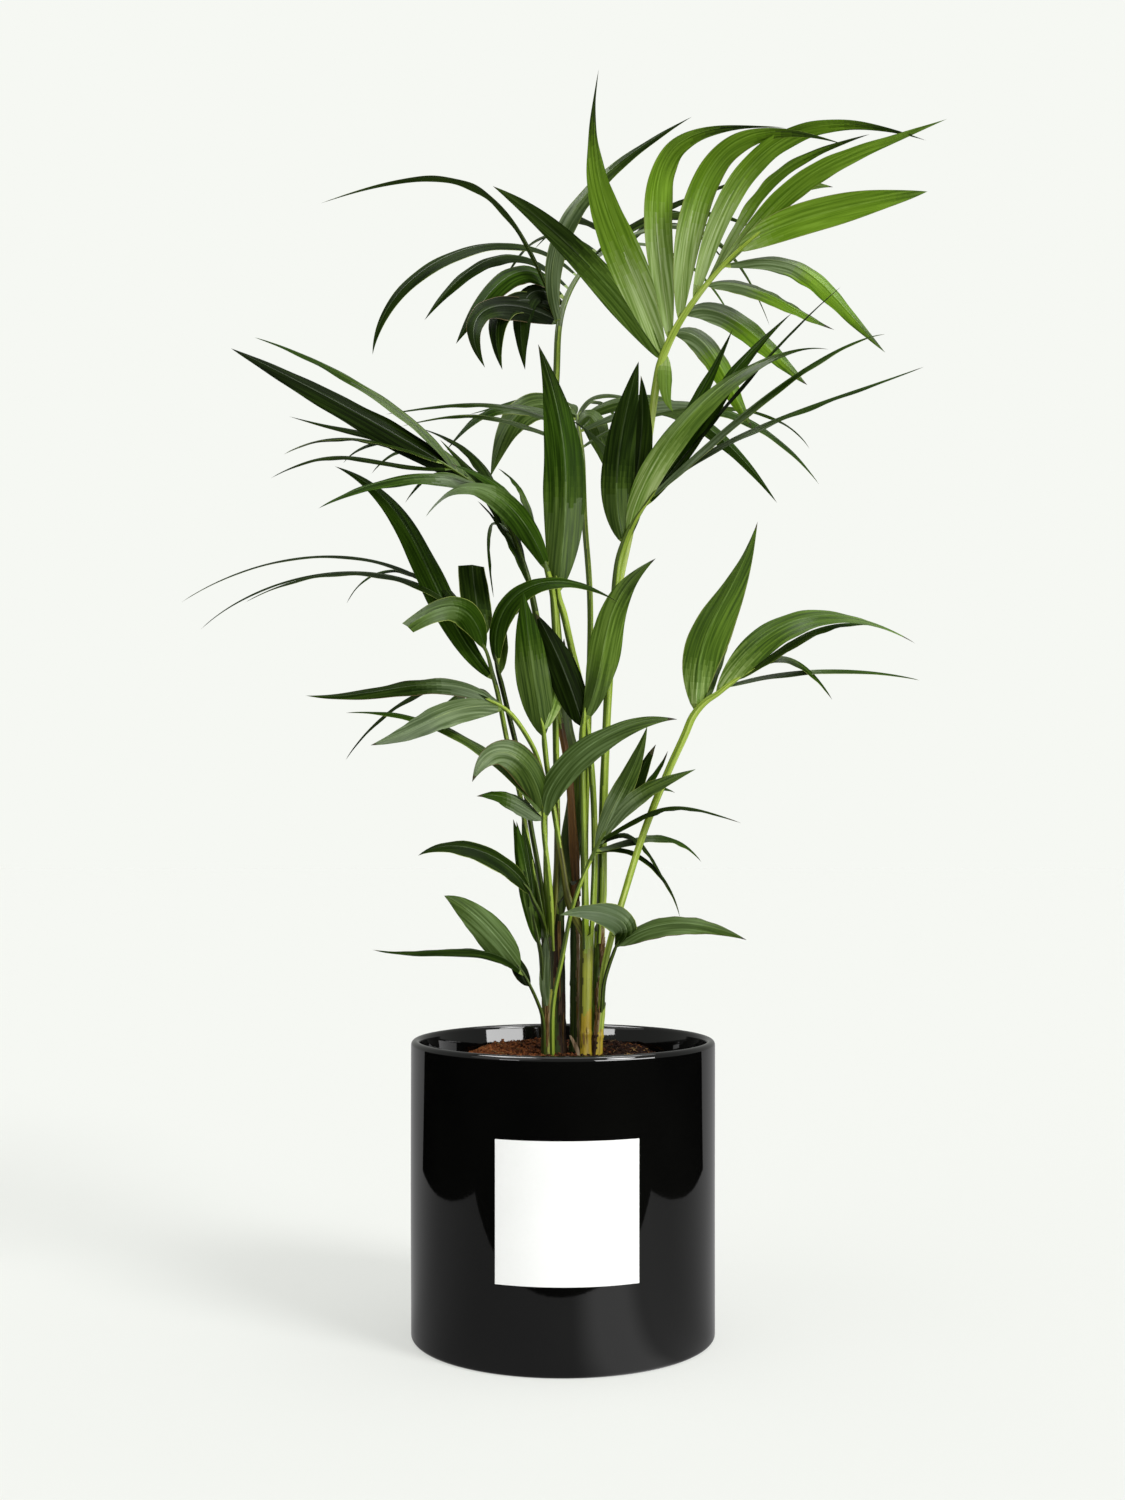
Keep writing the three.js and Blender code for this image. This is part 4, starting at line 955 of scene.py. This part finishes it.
def grow_stalk(batch, name, radii, stalk, rib, rng):
    """Adds a stalk and its rib as one tapering stem, channelled on the side to the crown."""
    tone, girth, clasp, span, *own_foot = STALKS[name]
    stalk = placed(stalk)
    stalk[0, 2] = foot_level(stalk[0])
    root = stalk[0] - unit(stalk[1] - stalk[0]) * STALK_ROOT
    stalk_length = run_lengths(through_points(np.vstack([root, stalk])))[-1]
    line = through_points(np.vstack([root, stalk, placed(rib)]))
    line = np.vstack([line, line[-1] + unit(line[-1] - line[-4]) * STALK_PAST_TIP])
    length = run_lengths(line)[-1]
    centre = at_shares(line, np.linspace(0, 1, int(length / STALK_SPACING) + 1))
    run = run_lengths(centre)
    inward = unit(CLUMP_MIDDLE - centre * [1, 1, 0]) + [0, 0, 0.6]
    along = unit(np.gradient(centre, axis=0))
    right = unit(np.cross(along, inward))
    front = np.cross(right, along)

    above = np.maximum(run - STALK_ROOT, 0)
    radius = np.interp(run, [0, stalk_length, length], np.multiply(radii, [1, 1, RIB_END_SHARE]))
    radius *= 1 + (girth - 1) * np.clip(above / GIRTH_RISE, 0, 1)
    radius[-1] = STALK_TIP_RADIUS
    broad = 1 + clasp * np.exp(-(above / span) ** 2)
    theta = round_angles(STALK_COLUMNS)
    off_channel = np.minimum(theta, FULL_TURN - theta)
    depth = CHANNEL_DEPTH + CHANNEL_FOOT_DEPTH * np.exp(-above / CHANNEL_FOOT_REACH)
    channel = 1 - depth[:, None] * np.exp(-(off_channel / CHANNEL_WIDTH) ** 2)
    bumps = 1 + STALK_BUMPS * np.stack([wander(rng, 14)(run / length) for _ in theta], -1)
    ring = radius[:, None] * channel * bumps
    points = (centre[:, None]
              + right[:, None] * (ring * np.sin(theta) * broad[:, None])[..., None]
              + front[:, None] * (ring * np.cos(theta))[..., None])
    sideways = right[:-1, :1] * np.sin(theta) + front[:-1, :1] * np.cos(theta)
    margin = (off_channel > MARGIN[0]) & (off_channel < MARGIN[1])
    # Painted shade: faces turned to the left, away from the key light, take the deeper tone.
    painted_shade = sideways < SHADED_SIDE + SHADE_RAGGED * wander(rng, 9)(run[:-1] / length)[:, None]
    kinds = np.where(margin | painted_shade, MARGIN_AND_SHADE_TONES[tone], tone).astype(object)
    if name in DARK_RIBS:
        kinds[run[:-1] > stalk_length] = "stalk_moss"
    if own_foot:
        foot_tone, reach = own_foot
        ragged = FOOT_RAGGED * wander(rng, 4)(theta / FULL_TURN)
        kinds[centre[:-1, 2:] + ragged < reach] = foot_tone
    batch.grid(points, kinds, mapped(off_channel * 10, run[:, None], rng), closed=True)


def grow_frond(name, tone, radii, stalk, rib, leaflets):
    """A frond's leaflets as one piece, its stalk and rib as another."""
    rng = seeded(*name.encode())
    elevation = through_points([stalk[-1], *rib])
    blades = Batch()
    for row in leaflets:
        grow_leaflet(blades, at_shares(elevation, [row[0]])[0], row, rng)
    blades.piece(f"{name}_leaflets", f"frond_{tone}", f"{name}_frond")
    stem = Batch()
    grow_stalk(stem, name, radii, stalk, rib, rng)
    stem.piece(f"{name}_petiole", "stalk", f"{name}_stalk")


# --------------------------------------------------------------------------------- the canes

# Canes: foot (x, depth) on the soil, top (x, z, depth) on the elevation, radii at foot and top
# and the leaf scars' shares of the height. skins run from the foot up: up to each share of the
# height, the skin at the left, the skin at the right and where the two meet, from -1 at the left
# to 1 at the right. strands are the torn strands of dry sheath: from and to which share of the
# height, heading and spread round the cane in degrees, how many, how wide and their skins.
# Where a cane's left skin is darker than its right, as on cane_left and cane_yellow, it is partly the
# cane's own colour and partly painted shade on the side away from the key light.
CANES = {
    "cane_left": {
        "foot": (-15, -8), "top": (-14, 370, -10), "radii": (3.9, 6.0), "scars": (0.28,),
        "skins": [(0.5, "stalk_olive", "stalk_pea", 0.2), (1.0, "sheath_dark", "sheath_dark", 0)],
        "strands": [(0.0, 0.5, 275, 30, 26, 1.2, ("sheath_tan", "papery", "sheath_tan"))],
    },
    "cane_dark": {
        "foot": (-4, 9), "top": (-4, 402, 9), "radii": (7.0, 5.2), "scars": (0.2, 0.62),
        "skins": [(0.4, "sheath_green", "sheath_brown", -0.1),
                  (0.8, "sheath_brown", "sheath_dark", 0.2), (1.0, "sheath_dark", "sheath_green", 0)],
        "strands": [(0.0, 0.9, 270, 60, 26, 1.4, ("sheath_brown", "sheath_tan", "sheath_dark")),
                    (0.35, 0.5, 255, 25, 5, 2.4, ("sheath_tan",))],
    },
    "cane_brown": {
        "foot": (11, 14), "top": (11, 420, 12), "radii": (4.6, 4.2), "scars": (0.86, 0.4),
        "skins": [(0.86, "sheath_green", "papery", 0.3), (1.0, "stalk_brown", "stalk_brown", 0)],
        "strands": [(0.0, 0.85, 304, 10, 30, 1.3, ("papery", "papery", "sheath_tan"))],
    },
    "cane_yellow": {
        "foot": (20, -9), "top": (22, 372, -7), "radii": (5.4, 6.4), "scars": (0.18,),
        "skins": [(0.35, "stalk_olive", "stalk_yellow", -0.75),
                  (0.85, "stalk_olive", "stalk_pea", -0.6), (1.0, "stalk_olive", "stalk_green", -0.4)],
        "strands": [(0.0, 0.3, 240, 50, 5, 1.0, ("stalk_olive", "sheath_tan"))],
    },
    "cane_papery": {
        "foot": (29, 14), "top": (34, 377, 12), "radii": (4.6, 5.0), "scars": (0.33, 0.7),
        "skins": [(0.15, "sheath_brown", "sheath_tan", 0), (0.45, "stalk_moss", "papery", 0.3),
                  (0.62, "stalk_moss", "papery", 0.2), (0.85, "stalk_moss", "papery", 0.5),
                  (1.0, "stalk_green", "stalk_green", 0)],
        "strands": [(0.15, 0.6, 292, 30, 40, 2.0, ("papery", "papery", "sheath_tan")),
                    (0.55, 1.0, 310, 25, 24, 2.2, ("papery", "sheath_tan"))],
    },
    "cane_right": {
        "foot": (31, -6), "top": (35, 302, -6), "radii": (4.4, 4.6), "scars": (0.4,),
        "skins": [(0.5, "sheath_brown", "stalk_yellow", -0.2), (1.0, "papery", "stalk_green", -0.1)],
        "strands": [(0.3, 1.0, 235, 30, 16, 1.6, ("papery", "sheath_tan", "sheath_brown"))],
    },
}
SMOOTH_CANES = ("cane_yellow", "cane_right")
# The folded sheath in front of a cane: its base and its row, as for a leaflet.
SHEATHS = {"cane_left": (np.array([-15.5, 303, -17]),
                         (0, -15, 374, -16.5, 98, 88, 1, 10.5, 8, 0, "sheathgrey"))}
CANE_COLUMNS = 32
CANE_STEP = 2.2
CANE_ROOT = 14.0
CANE_LOBES = 0.35
# Relief of the fibres and raggedness of the skins' meeting, for smooth canes and for others.
CANE_ROUGHNESS = {True: (0.12, 0.12), False: (0.4, 0.3)}
ZONE_RAGGED = 0.05
FOOT_FLARE = 1.4
FOOT_FLARE_REACH = 9.0
SCAR_RELIEF = 0.7
SCAR_HALF_HEIGHT = 1.6
# The torn mouth: how much it slants, from which share of the height and which way.
MOUTH_SLANT = 5.0
MOUTH_SHARE = 0.85
MOUTH_WAY = np.array([math.cos(1.0), math.sin(1.0), 0.0])
# Strands: how far they stand off the cane, lift off at the upper end and slant, in degrees.
STRAND_LENGTH = (8.0, 34.0)
STRAND_OFF = 0.45
STRAND_LIFT = 1.8
STRAND_SLANT = 12
STRAND_POINTS = 9
RIBBON_SHEET = 0.12


def ribbon(batch, line, across, out, widths, kind):
    """Adds a thin strip along a line, across and out telling its two ways at each point."""
    across = across * widths[:, None] / 2
    out = out * RIBBON_SHEET
    ring = [line - across, line - out, line + across, line + out]
    batch.grid(np.stack(ring, 1), kind, closed=True)


def grow_strand(batch, foot, top, radii, strand, rng):
    """A strand that clings to the cane, its upper end often lifted off."""
    lowest, highest, heading, spread, _, width, skins = strand
    height = top[2] - foot[2]
    length = rng.uniform(*STRAND_LENGTH)
    low = rng.uniform(lowest, max(lowest + 0.01, highest - length / height))
    t = np.linspace(0, 1, STRAND_POINTS)
    share = low + t * length / height
    lifted = rng.uniform(0.0, STRAND_LIFT) * t**4
    slant = rng.normal(0, 0.5) * spread + rng.uniform(-STRAND_SLANT, STRAND_SLANT) * t
    theta = np.radians(heading + slant)
    radius = np.interp(share, [0, 1], radii) + STRAND_OFF + lifted
    line = foot + (top - foot) * share[:, None] + polar(radius, theta, 0.0)
    widths = width * rng.uniform(0.4, 1.2) * np.sin(np.pi * (0.08 + 0.84 * t)) ** 0.5
    across = polar(1.0, theta + np.pi / 2, 0.0)
    ribbon(batch, line, across, polar(1.0, theta, 0.0), widths, str(rng.choice(skins)))


def grow_cane(name, cane):
    """A cane with its fibres, its leaf scars and the torn mouth of its topmost sheath."""
    rng = seeded(*name.encode())
    foot = np.array([*cane["foot"], SOIL_TOP + GAP], float)
    top = placed(cane["top"])
    radii = cane["radii"]
    height = top[2] - foot[2]
    steps = int((height + CANE_ROOT) / CANE_STEP)
    share = np.linspace(-CANE_ROOT / height, 1, steps + 1)
    centre = foot + (top - foot) * share[:, None]
    theta = round_angles(CANE_COLUMNS)
    rough, torn = CANE_ROUGHNESS[name in SMOOTH_CANES]
    fibres = np.stack([wander(rng, 6)(share) for _ in theta], -1)
    lobes = wander(rng, 3)(theta / FULL_TURN) * np.cos(theta / 2) ** 2
    ring = np.interp(share, [0, 1], radii)[:, None] + rough * fibres + CANE_LOBES * lobes
    for place in cane["scars"]:
        ring += SCAR_RELIEF * np.exp(-((share - place) * height / SCAR_HALF_HEIGHT) ** 2)[:, None]
    ring += FOOT_FLARE * np.exp(-np.maximum(share, 0) * height / FOOT_FLARE_REACH)[:, None]
    points = centre[:, None] + polar(ring, theta, 0.0)
    rising = MOUTH_SLANT * np.clip((share - MOUTH_SHARE) / (1 - MOUTH_SHARE), 0, 1)[:, None]
    points[..., 2] += rising * ((points - centre[:, None]) @ MOUTH_WAY) / radii[1]

    kinds = np.empty((steps, CANE_COLUMNS), object)
    ragged = ZONE_RAGGED * wander(rng, 5)(theta / FULL_TURN)
    torn = torn * wander(rng, 9)(share)
    for row, column in np.ndindex(kinds.shape):
        place = min(share[row] + ragged[column], 1.0)
        _, left, right, meeting = next(skin for skin in cane["skins"] if place <= skin[0])
        # A darker left skin is partly painted shade away from the key light.
        kinds[row, column] = left if math.cos(theta[column]) < meeting + torn[row] else right
    batch = Batch()
    uv = mapped(theta * radii[0] * 4, share[:, None] * height, rng)
    batch.grid(points, kinds, uv, closed=True)
    mouth = np.broadcast_to(points[-1].mean(0), points[-1].shape)
    batch.grid(np.stack([points[-1], mouth]), "sheath_dark", closed=True)
    for strand in cane["strands"]:
        for _ in range(strand[4]):
            grow_strand(batch, foot, top, radii, strand, rng)
    if name in SHEATHS:
        grow_leaflet(batch, *SHEATHS[name], rng)
    batch.piece(f"{name}_bark", name, name)


# ---------------------------------------------------------------------------- pot, label, soil

POT_COLUMNS = 256
POT_WAVE = 0.12
INNER_LEAN = 5.0
INNER_LEAN_REACH = 30.0
# Section of the unglazed foot ring, with its shallow recess.
FOOT_RING = [(0.01, 1.2), (118, 1.2), (120, 0), (POT_RADIUS - POT_FOOT, 0)]
# The label stands off the pot, its corners curl up and the sheet has a front and a back.
LABEL_OFF = 0.42
LABEL_CURL = 2.1
LABEL_CORNER = 0.72
LABEL_SHEET = (0.14, -0.1)
SOIL_COLUMNS = 240
SOIL_ROWS = 54
CLOD_HEIGHT = 1.1
SOIL_BORDERS = (-18, 22)
SOIL_MIXING = 22
OCTAHEDRON = np.array([(1, 0, 0), (0, 1, 0), (-1, 0, 0), (0, -1, 0), (0, 0, 1), (0, 0, -1)], float)
OCTAHEDRON_FACES = np.array([(0, 1, 4), (1, 2, 4), (2, 3, 4), (3, 0, 4),
                             (1, 0, 5), (2, 1, 5), (3, 2, 5), (0, 3, 5)])
CRUMBS = 8000
CRUMB_RADIUS = (0.7, 2.4)
FIBRES = 1400
FIBRE_LENGTH = (3, 11)
FIBRE_BEND = 0.08
FIBRE_RADIUS = (0.15, 0.4)
FIBRE_TAPER = np.array([0.3, 1, 1, 1, 0.3])[:, None, None]
FIBRE_KINDS = ("soil_orange", "soil_brown", "sheath_tan")
# How far crumbs and fibres keep off the pot's wall.
WALL_CLEARANCE = 3
# Two scraps of dry sheath that stand in the soil, from and to.
SCRAPS = np.array([[(14.0, -16.0, 258.5), (6.5, -20.0, 278.0)],
                   [(15.0, -18.0, 258.5), (10.5, -22.0, 271.0)]])
SCRAP_WIDTH = 3.2


def revolve(profile, columns, wave=0.0):
    """Grid of a profile (radius, height) turned about Z, radii faintly uneven."""
    radius, height = np.array(profile, float).T[..., None]
    theta = round_angles(columns)
    turn = height / POT_HEIGHT
    uneven = wave * np.sin(2 * theta + 3 * turn) + wave * np.sin(3 * theta - 5 * turn + 1)
    return polar(radius + uneven * (radius > 1), theta, height)


def arc(centre, radius, start, stop, steps):
    """Points of an arc in a profile, angles in degrees."""
    angle = np.radians(np.linspace(start, stop, steps + 1))
    return [(centre[0] + radius * math.cos(a), centre[1] + radius * math.sin(a)) for a in angle]


def make_pot():
    """Glazed pot with a rounded rim, an unglazed foot ring and a wall that leans in inside."""
    shoulder = POT_HEIGHT - POT_LIP
    foot = arc((POT_RADIUS - POT_FOOT, POT_FOOT), POT_FOOT, -90, 0, 6)
    wall = [(POT_RADIUS, z) for z in np.linspace(POT_FOOT, shoulder, 28)[1:]]
    rim = arc((POT_RADIUS - POT_LIP, shoulder), POT_LIP, 0, 180, 14)[1:]
    inside = [(POT_INNER - INNER_LEAN * (1 - math.exp((z - shoulder) / INNER_LEAN_REACH)), z)
              for z in np.linspace(shoulder, SOIL_EDGE - 8, 16)[1:]]
    floor = [(POT_INNER - INNER_LEAN, POT_FLOOR), (0.01, POT_FLOOR)]
    batch = Batch()
    glazed = revolve(foot[1:] + wall + rim + inside + floor, POT_COLUMNS, POT_WAVE)
    batch.grid(glazed, "pot_glaze", closed=True)
    batch.grid(revolve([*FOOT_RING, foot[1]], POT_COLUMNS), "pot_foot", closed=True)
    batch.piece("pot_glazed", "pot_glaze", "pot")


def make_label():
    """Thin bare paper sheet wrapped on the front of the pot, its corners barely lifted."""
    middle = -math.pi / 2 + LABEL_SHIFT / POT_RADIUS
    u = np.linspace(-1, 1, 49)
    v = np.linspace(-1, 1, 25)[:, None]
    angle = middle + LABEL_WIDTH / POT_RADIUS / 2 * u
    lifted = POT_RADIUS + LABEL_OFF + LABEL_CURL * np.clip(np.abs(u * v) - LABEL_CORNER, 0, 1) ** 2
    height = LABEL_BOTTOM + LABEL_HEIGHT / 2 * (1 + v)
    front, back = (polar(lifted + sheet, angle, height) for sheet in LABEL_SHEET)
    batch = Batch()
    batch.grid(front, "label_paper")
    batch.grid(back, "label_paper", flip=True)
    for first, second in ((front[0], back[0]), (back[-1], front[-1]),
                          (back[:, 0], front[:, 0]), (front[:, -1], back[:, -1])):
        batch.grid(np.stack([second, first]), "label_paper")
    batch.piece("label_sheet", "label_paper", "label")


def soil_height(radius, theta):
    """Height of the soil's surface, with its clods."""
    height = np.interp(radius, *zip(*SOIL_PROFILE))
    x, y = radius * np.cos(theta), radius * np.sin(theta)
    clods = (np.sin(x / 5.3 + 1.7 * np.sin(y / 6.1)) * np.sin(y / 4.7 + 1.3 * np.sin(x / 7.9))
             + 0.6 * np.sin(x / 2.3 + y / 3.1) * np.sin(y / 2.1 - x / 2.9)
             + 0.8 * np.sin(x / 11.0 - 2.0) * np.sin(y / 9.0 + 0.7))
    return height + CLOD_HEIGHT * clods * np.clip(radius / 12, 0.2, 1)


def soil_tone(x, rng):
    """Orange-brown at the left, darker at the right."""
    place = x + rng.normal(0, SOIL_MIXING, np.shape(x))
    middle, right = SOIL_BORDERS
    return np.where(place < middle, "soil_orange", np.where(place < right, "soil_brown", "soil_dark"))


def make_soil():
    """The soil's clodded surface, its side and its underside."""
    outer = POT_INNER - GAP
    radius = np.concatenate([[0.05], np.linspace(2, outer, SOIL_ROWS)])[:, None]
    theta = round_angles(SOIL_COLUMNS)
    top = polar(radius, theta, soil_height(radius, theta))
    side = [(outer, SOIL_EDGE - 4), (outer, POT_FLOOR + GAP), (0.01, POT_FLOOR + GAP)]
    batch = Batch()
    batch.grid(top, soil_tone(top[:-1, :, 0], seeded(5)), closed=True)
    batch.grid(np.concatenate([top[-1:], revolve(side, SOIL_COLUMNS)]), "soil_dark", closed=True)
    batch.piece("soil_mound", "soil", "soil")


def make_crumbs(rng):
    """Loose crumbs on the soil."""
    radius = (POT_INNER - WALL_CLEARANCE) * np.sqrt(rng.random(CRUMBS))
    theta = rng.uniform(0, FULL_TURN, CRUMBS)
    least, most = CRUMB_RADIUS
    size = least + (most - least) * rng.random(CRUMBS) ** 2.5
    centre = polar(radius, theta, soil_height(radius, theta) + size * 0.3)
    shapes = OCTAHEDRON * size[:, None, None] * rng.uniform(0.55, 1.3, (CRUMBS, 6, 1))
    spin, _ = np.linalg.qr(rng.normal(size=(CRUMBS, 3, 3)))
    faces = (np.arange(CRUMBS)[:, None, None] * 6 + OCTAHEDRON_FACES).reshape(-1, 3)
    batch = Batch()
    batch.add(centre[:, None] + shapes @ spin, faces, np.repeat(soil_tone(centre[:, 0], rng), 8))
    batch.piece("soil_crumbs", "soil", smooth=False)


def make_fibres(rng):
    """Bits of fibre on the soil, and the scraps of sheath."""
    outer = POT_INNER - WALL_CLEARANCE
    corners = np.radians([90, 210, 330])[:, None]
    batch = Batch()
    for _ in range(FIBRES):
        radius, theta = outer * math.sqrt(rng.random()), rng.uniform(0, FULL_TURN)
        heading = rng.uniform(0, FULL_TURN)
        steps = np.linspace(-0.5, 0.5, 5) * rng.uniform(*FIBRE_LENGTH)
        bend = rng.uniform(-FIBRE_BEND, FIBRE_BEND) * steps**2
        along = np.array([math.cos(heading), math.sin(heading)])
        wide = np.array([-math.sin(heading), math.cos(heading)])
        place = radius * np.array([math.cos(theta), math.sin(theta)])
        place = place + steps[:, None] * along + bend[:, None] * wide
        place *= np.minimum(1, (outer - 1) / np.maximum(np.hypot(*place.T), 1))[:, None]
        level = soil_height(np.hypot(*place.T), np.arctan2(*place.T[::-1]))
        level = level + 0.5 + rng.uniform(0, 0.8)
        ring = np.hstack([np.cos(corners) * wide, np.sin(corners)]) * rng.uniform(*FIBRE_RADIUS)
        points = np.column_stack([place, level])[:, None] + ring * FIBRE_TAPER
        batch.grid(points, str(rng.choice(FIBRE_KINDS)), closed=True)
    t = np.linspace(0, 1, 7)
    across = np.tile([1.0, 0.0, 0.15], (7, 1))
    out = np.tile([0.0, 1.0, 0.0], (7, 1))
    widths = SCRAP_WIDTH * np.sin(np.pi * (0.1 + 0.75 * t))
    for start, stop in SCRAPS:
        line = start + (stop - start) * t[:, None]
        line[:, 2] += 2.0 * np.sin(np.pi * t)
        ribbon(batch, line, across, out, widths, "papery")
    batch.piece("soil_fibres", "soil", smooth=False)


# ------------------------------------------------------------------------ camera, light, stage

BACKGROUND = linear("#f6f8f3")
AMBIENT = 0.36
# Suns: where each stands from the middle, strength and angle in degrees.
SUNS = {
    "key": ((0.85, -0.75, 0.8), 2.3, 20),
    "fill": ((-0.75, -0.65, 0.7), 0.35, 50),
    "top": ((0.1, 0.1, 1.0), 1.2, 60),
}
STAGE_SPAN = 30.0
# Share of the floor's brightness that is its own, which keeps the shadows faint.
FLOOR_GLOW = 0.55
# Where the floor ends for the glaze: in front of the pot, beside it and behind it, and how the
# dark beside the pot opens to the back, in metres.
MIRROR_NEAR = -0.41
MIRROR_BESIDE = 0.8
MIRROR_BEHIND = 0.5
MIRROR_SLOPE = 0.7
# Brightness that the glaze sees, by the share of a turn from -X counted anticlockwise.
MIRROR_BANDS = [(0.0, 0.3), (0.1, 0.26), (0.2, 0.3), (0.26, 0.32), (0.31, 0.95), (0.35, 0.95),
                (0.39, 0.45), (0.48, 0.34), (0.6, 0.4), (0.9, 0.4), (1.0, 0.3)]
# Bright cards that only the gloss sees: way from the middle, width and height in metres.
SOFTBOXES = {
    "card_sky_left": ((-0.35, -0.02, 0.93), 1.1, 0.8),
    "card_sky_right": ((0.35, -0.02, 0.93), 0.8, 0.6),
    "card_low_right": ((0.7, -0.67, 0.27), 2.0, 0.6),
    "card_low_left": ((-0.62, -0.77, 0.3), 0.6, 0.14),
}
SOFTBOX_DISTANCE = 2.4
SOFTBOX_GLOW = 12.0
UNSEEN_BY = ("camera", "diffuse", "shadow", "transmission", "volume_scatter")


def make_camera():
    """The eye, level with the middle of the plant and in front of the pot."""
    data = bpy.data.cameras.new("eye")
    data.lens = LENS
    data.shift_x, data.shift_y = LENS_SHIFT
    camera = shown("eye", data)
    camera.location = (0, -EYE_DISTANCE * MM, EYE_HEIGHT * MM)
    camera.rotation_euler = (math.radians(90), 0, 0)
    bpy.context.scene.camera = camera


def make_world():
    """Pale for the eye, softer as a light and in reflections."""
    world = bpy.data.worlds.new("studio")
    world.use_nodes = True
    tree = world.node_tree
    background = tree.nodes["Background"]
    background.inputs["Color"].default_value = BACKGROUND
    path = tree.nodes.new("ShaderNodeLightPath")
    strength = tree.nodes.new("ShaderNodeMapRange")
    strength.inputs["To Min"].default_value = AMBIENT
    tree.links.new(path.outputs["Is Camera Ray"], strength.inputs["Value"])
    tree.links.new(strength.outputs["Result"], background.inputs["Strength"])
    bpy.context.scene.world = world


def make_suns():
    """Lights the scene and returns how much light a level floor gets from the suns."""
    level = 0.0
    for name, (place, strength, width) in SUNS.items():
        data = bpy.data.lights.new(name, "SUN")
        data.energy = strength
        data.angle = math.radians(width)
        light = shown(name, data)
        x, y, z = unit(np.array(place))
        light.location = (3 * x, 3 * y, 3 * z)
        light.rotation_euler = (math.acos(z), 0, math.atan2(y, x) + math.pi / 2)
        level += strength * z
    return level


def card(name, corners, look, gloss_only=True):
    """A flat card on the stage, seen only by the gloss or by all."""
    mesh = bpy.data.meshes.new(name)
    mesh.from_pydata([tuple(corner) for corner in corners], [], [(0, 1, 2, 3)])
    mesh.materials.append(look.material)
    thing = shown(name, mesh)
    if gloss_only:
        for ray in UNSEEN_BY:
            setattr(thing, f"visible_{ray}", False)


def level_corners(far, height):
    """Corners of a level rectangle that spans the stage up to this depth."""
    left, right, near = -STAGE_SPAN, STAGE_SPAN, -STAGE_SPAN
    return [(left, near, height), (right, near, height), (right, far, height), (left, far, height)]


def make_mirror_floor():
    """What the glaze sees of the floor: greyer than to the eye, in bands round the pot."""
    look = Look("mirror_floor", Roughness=1.0, Base_Color=(0, 0, 0, 1), Specular_IOR_Level=0.0,
                Emission_Strength=1.0)
    turn = look.node("TexGradient", "Fac", {"gradient_type": "RADIAL"},
                     Vector=look.node("TexCoord", "Object"))
    look.finish(Emission_Color=look.ramp(turn, MIRROR_BANDS, "EASE"))
    card("card_floor", level_corners(STAGE_SPAN, 0.0005), look)

    black = Look("card_black", Roughness=1.0, Base_Color=(0, 0, 0, 1), Specular_IOR_Level=0.0)
    low = 0.001
    card("card_front", level_corners(MIRROR_NEAR, low), black)
    far = MIRROR_BEHIND + (STAGE_SPAN - MIRROR_BESIDE) * MIRROR_SLOPE
    for name, beside, away in (("card_left", -MIRROR_BESIDE, -STAGE_SPAN),
                               ("card_right", MIRROR_BESIDE, STAGE_SPAN)):
        card(name, [(beside, MIRROR_NEAR, low), (away, MIRROR_NEAR, low), (away, far, low),
                    (beside, MIRROR_BEHIND, low)], black)


def make_softboxes():
    """Bright cards that give the glaze its glints."""
    bright = Look("card_bright", Emission_Color=(1, 1, 1, 1), Emission_Strength=SOFTBOX_GLOW)
    for name, (way, wide, high) in SOFTBOXES.items():
        way = unit(np.array(way))
        centre = way * SOFTBOX_DISTANCE
        right = unit(np.cross([0, 0, 1], way))
        up = np.cross(way, right) * high / 2
        right = right * wide / 2
        below, above = centre - up, centre + up
        card(name, [below - right, below + right, above + right, above - right], bright)


def make_stage():
    """Lights, the pale floor and the cards that only the gloss sees."""
    pale = np.array(BACKGROUND)
    tone = pale * (1 - FLOOR_GLOW) / (AMBIENT * pale + make_suns() / math.pi)
    tone[3] = 1.0
    floor = Look("floor", Roughness=1.0, Base_Color=np.minimum(tone, 0.95), Specular_IOR_Level=0.0,
                 Emission_Color=pale, Emission_Strength=FLOOR_GLOW)
    card("floor", level_corners(STAGE_SPAN, 0), floor, gloss_only=False)
    make_mirror_floor()
    make_softboxes()


make_camera()
bpy.context.scene.view_settings.view_transform = "Standard"
make_world()
make_stage()

materials = make_materials()
for frond in FRONDS:
    grow_frond(*frond)
for cane_name, cane_plan in CANES.items():
    grow_cane(cane_name, cane_plan)
make_pot()
make_label()
make_soil()
crumb_draws = seeded(6)
make_crumbs(crumb_draws)
make_fibres(crumb_draws)
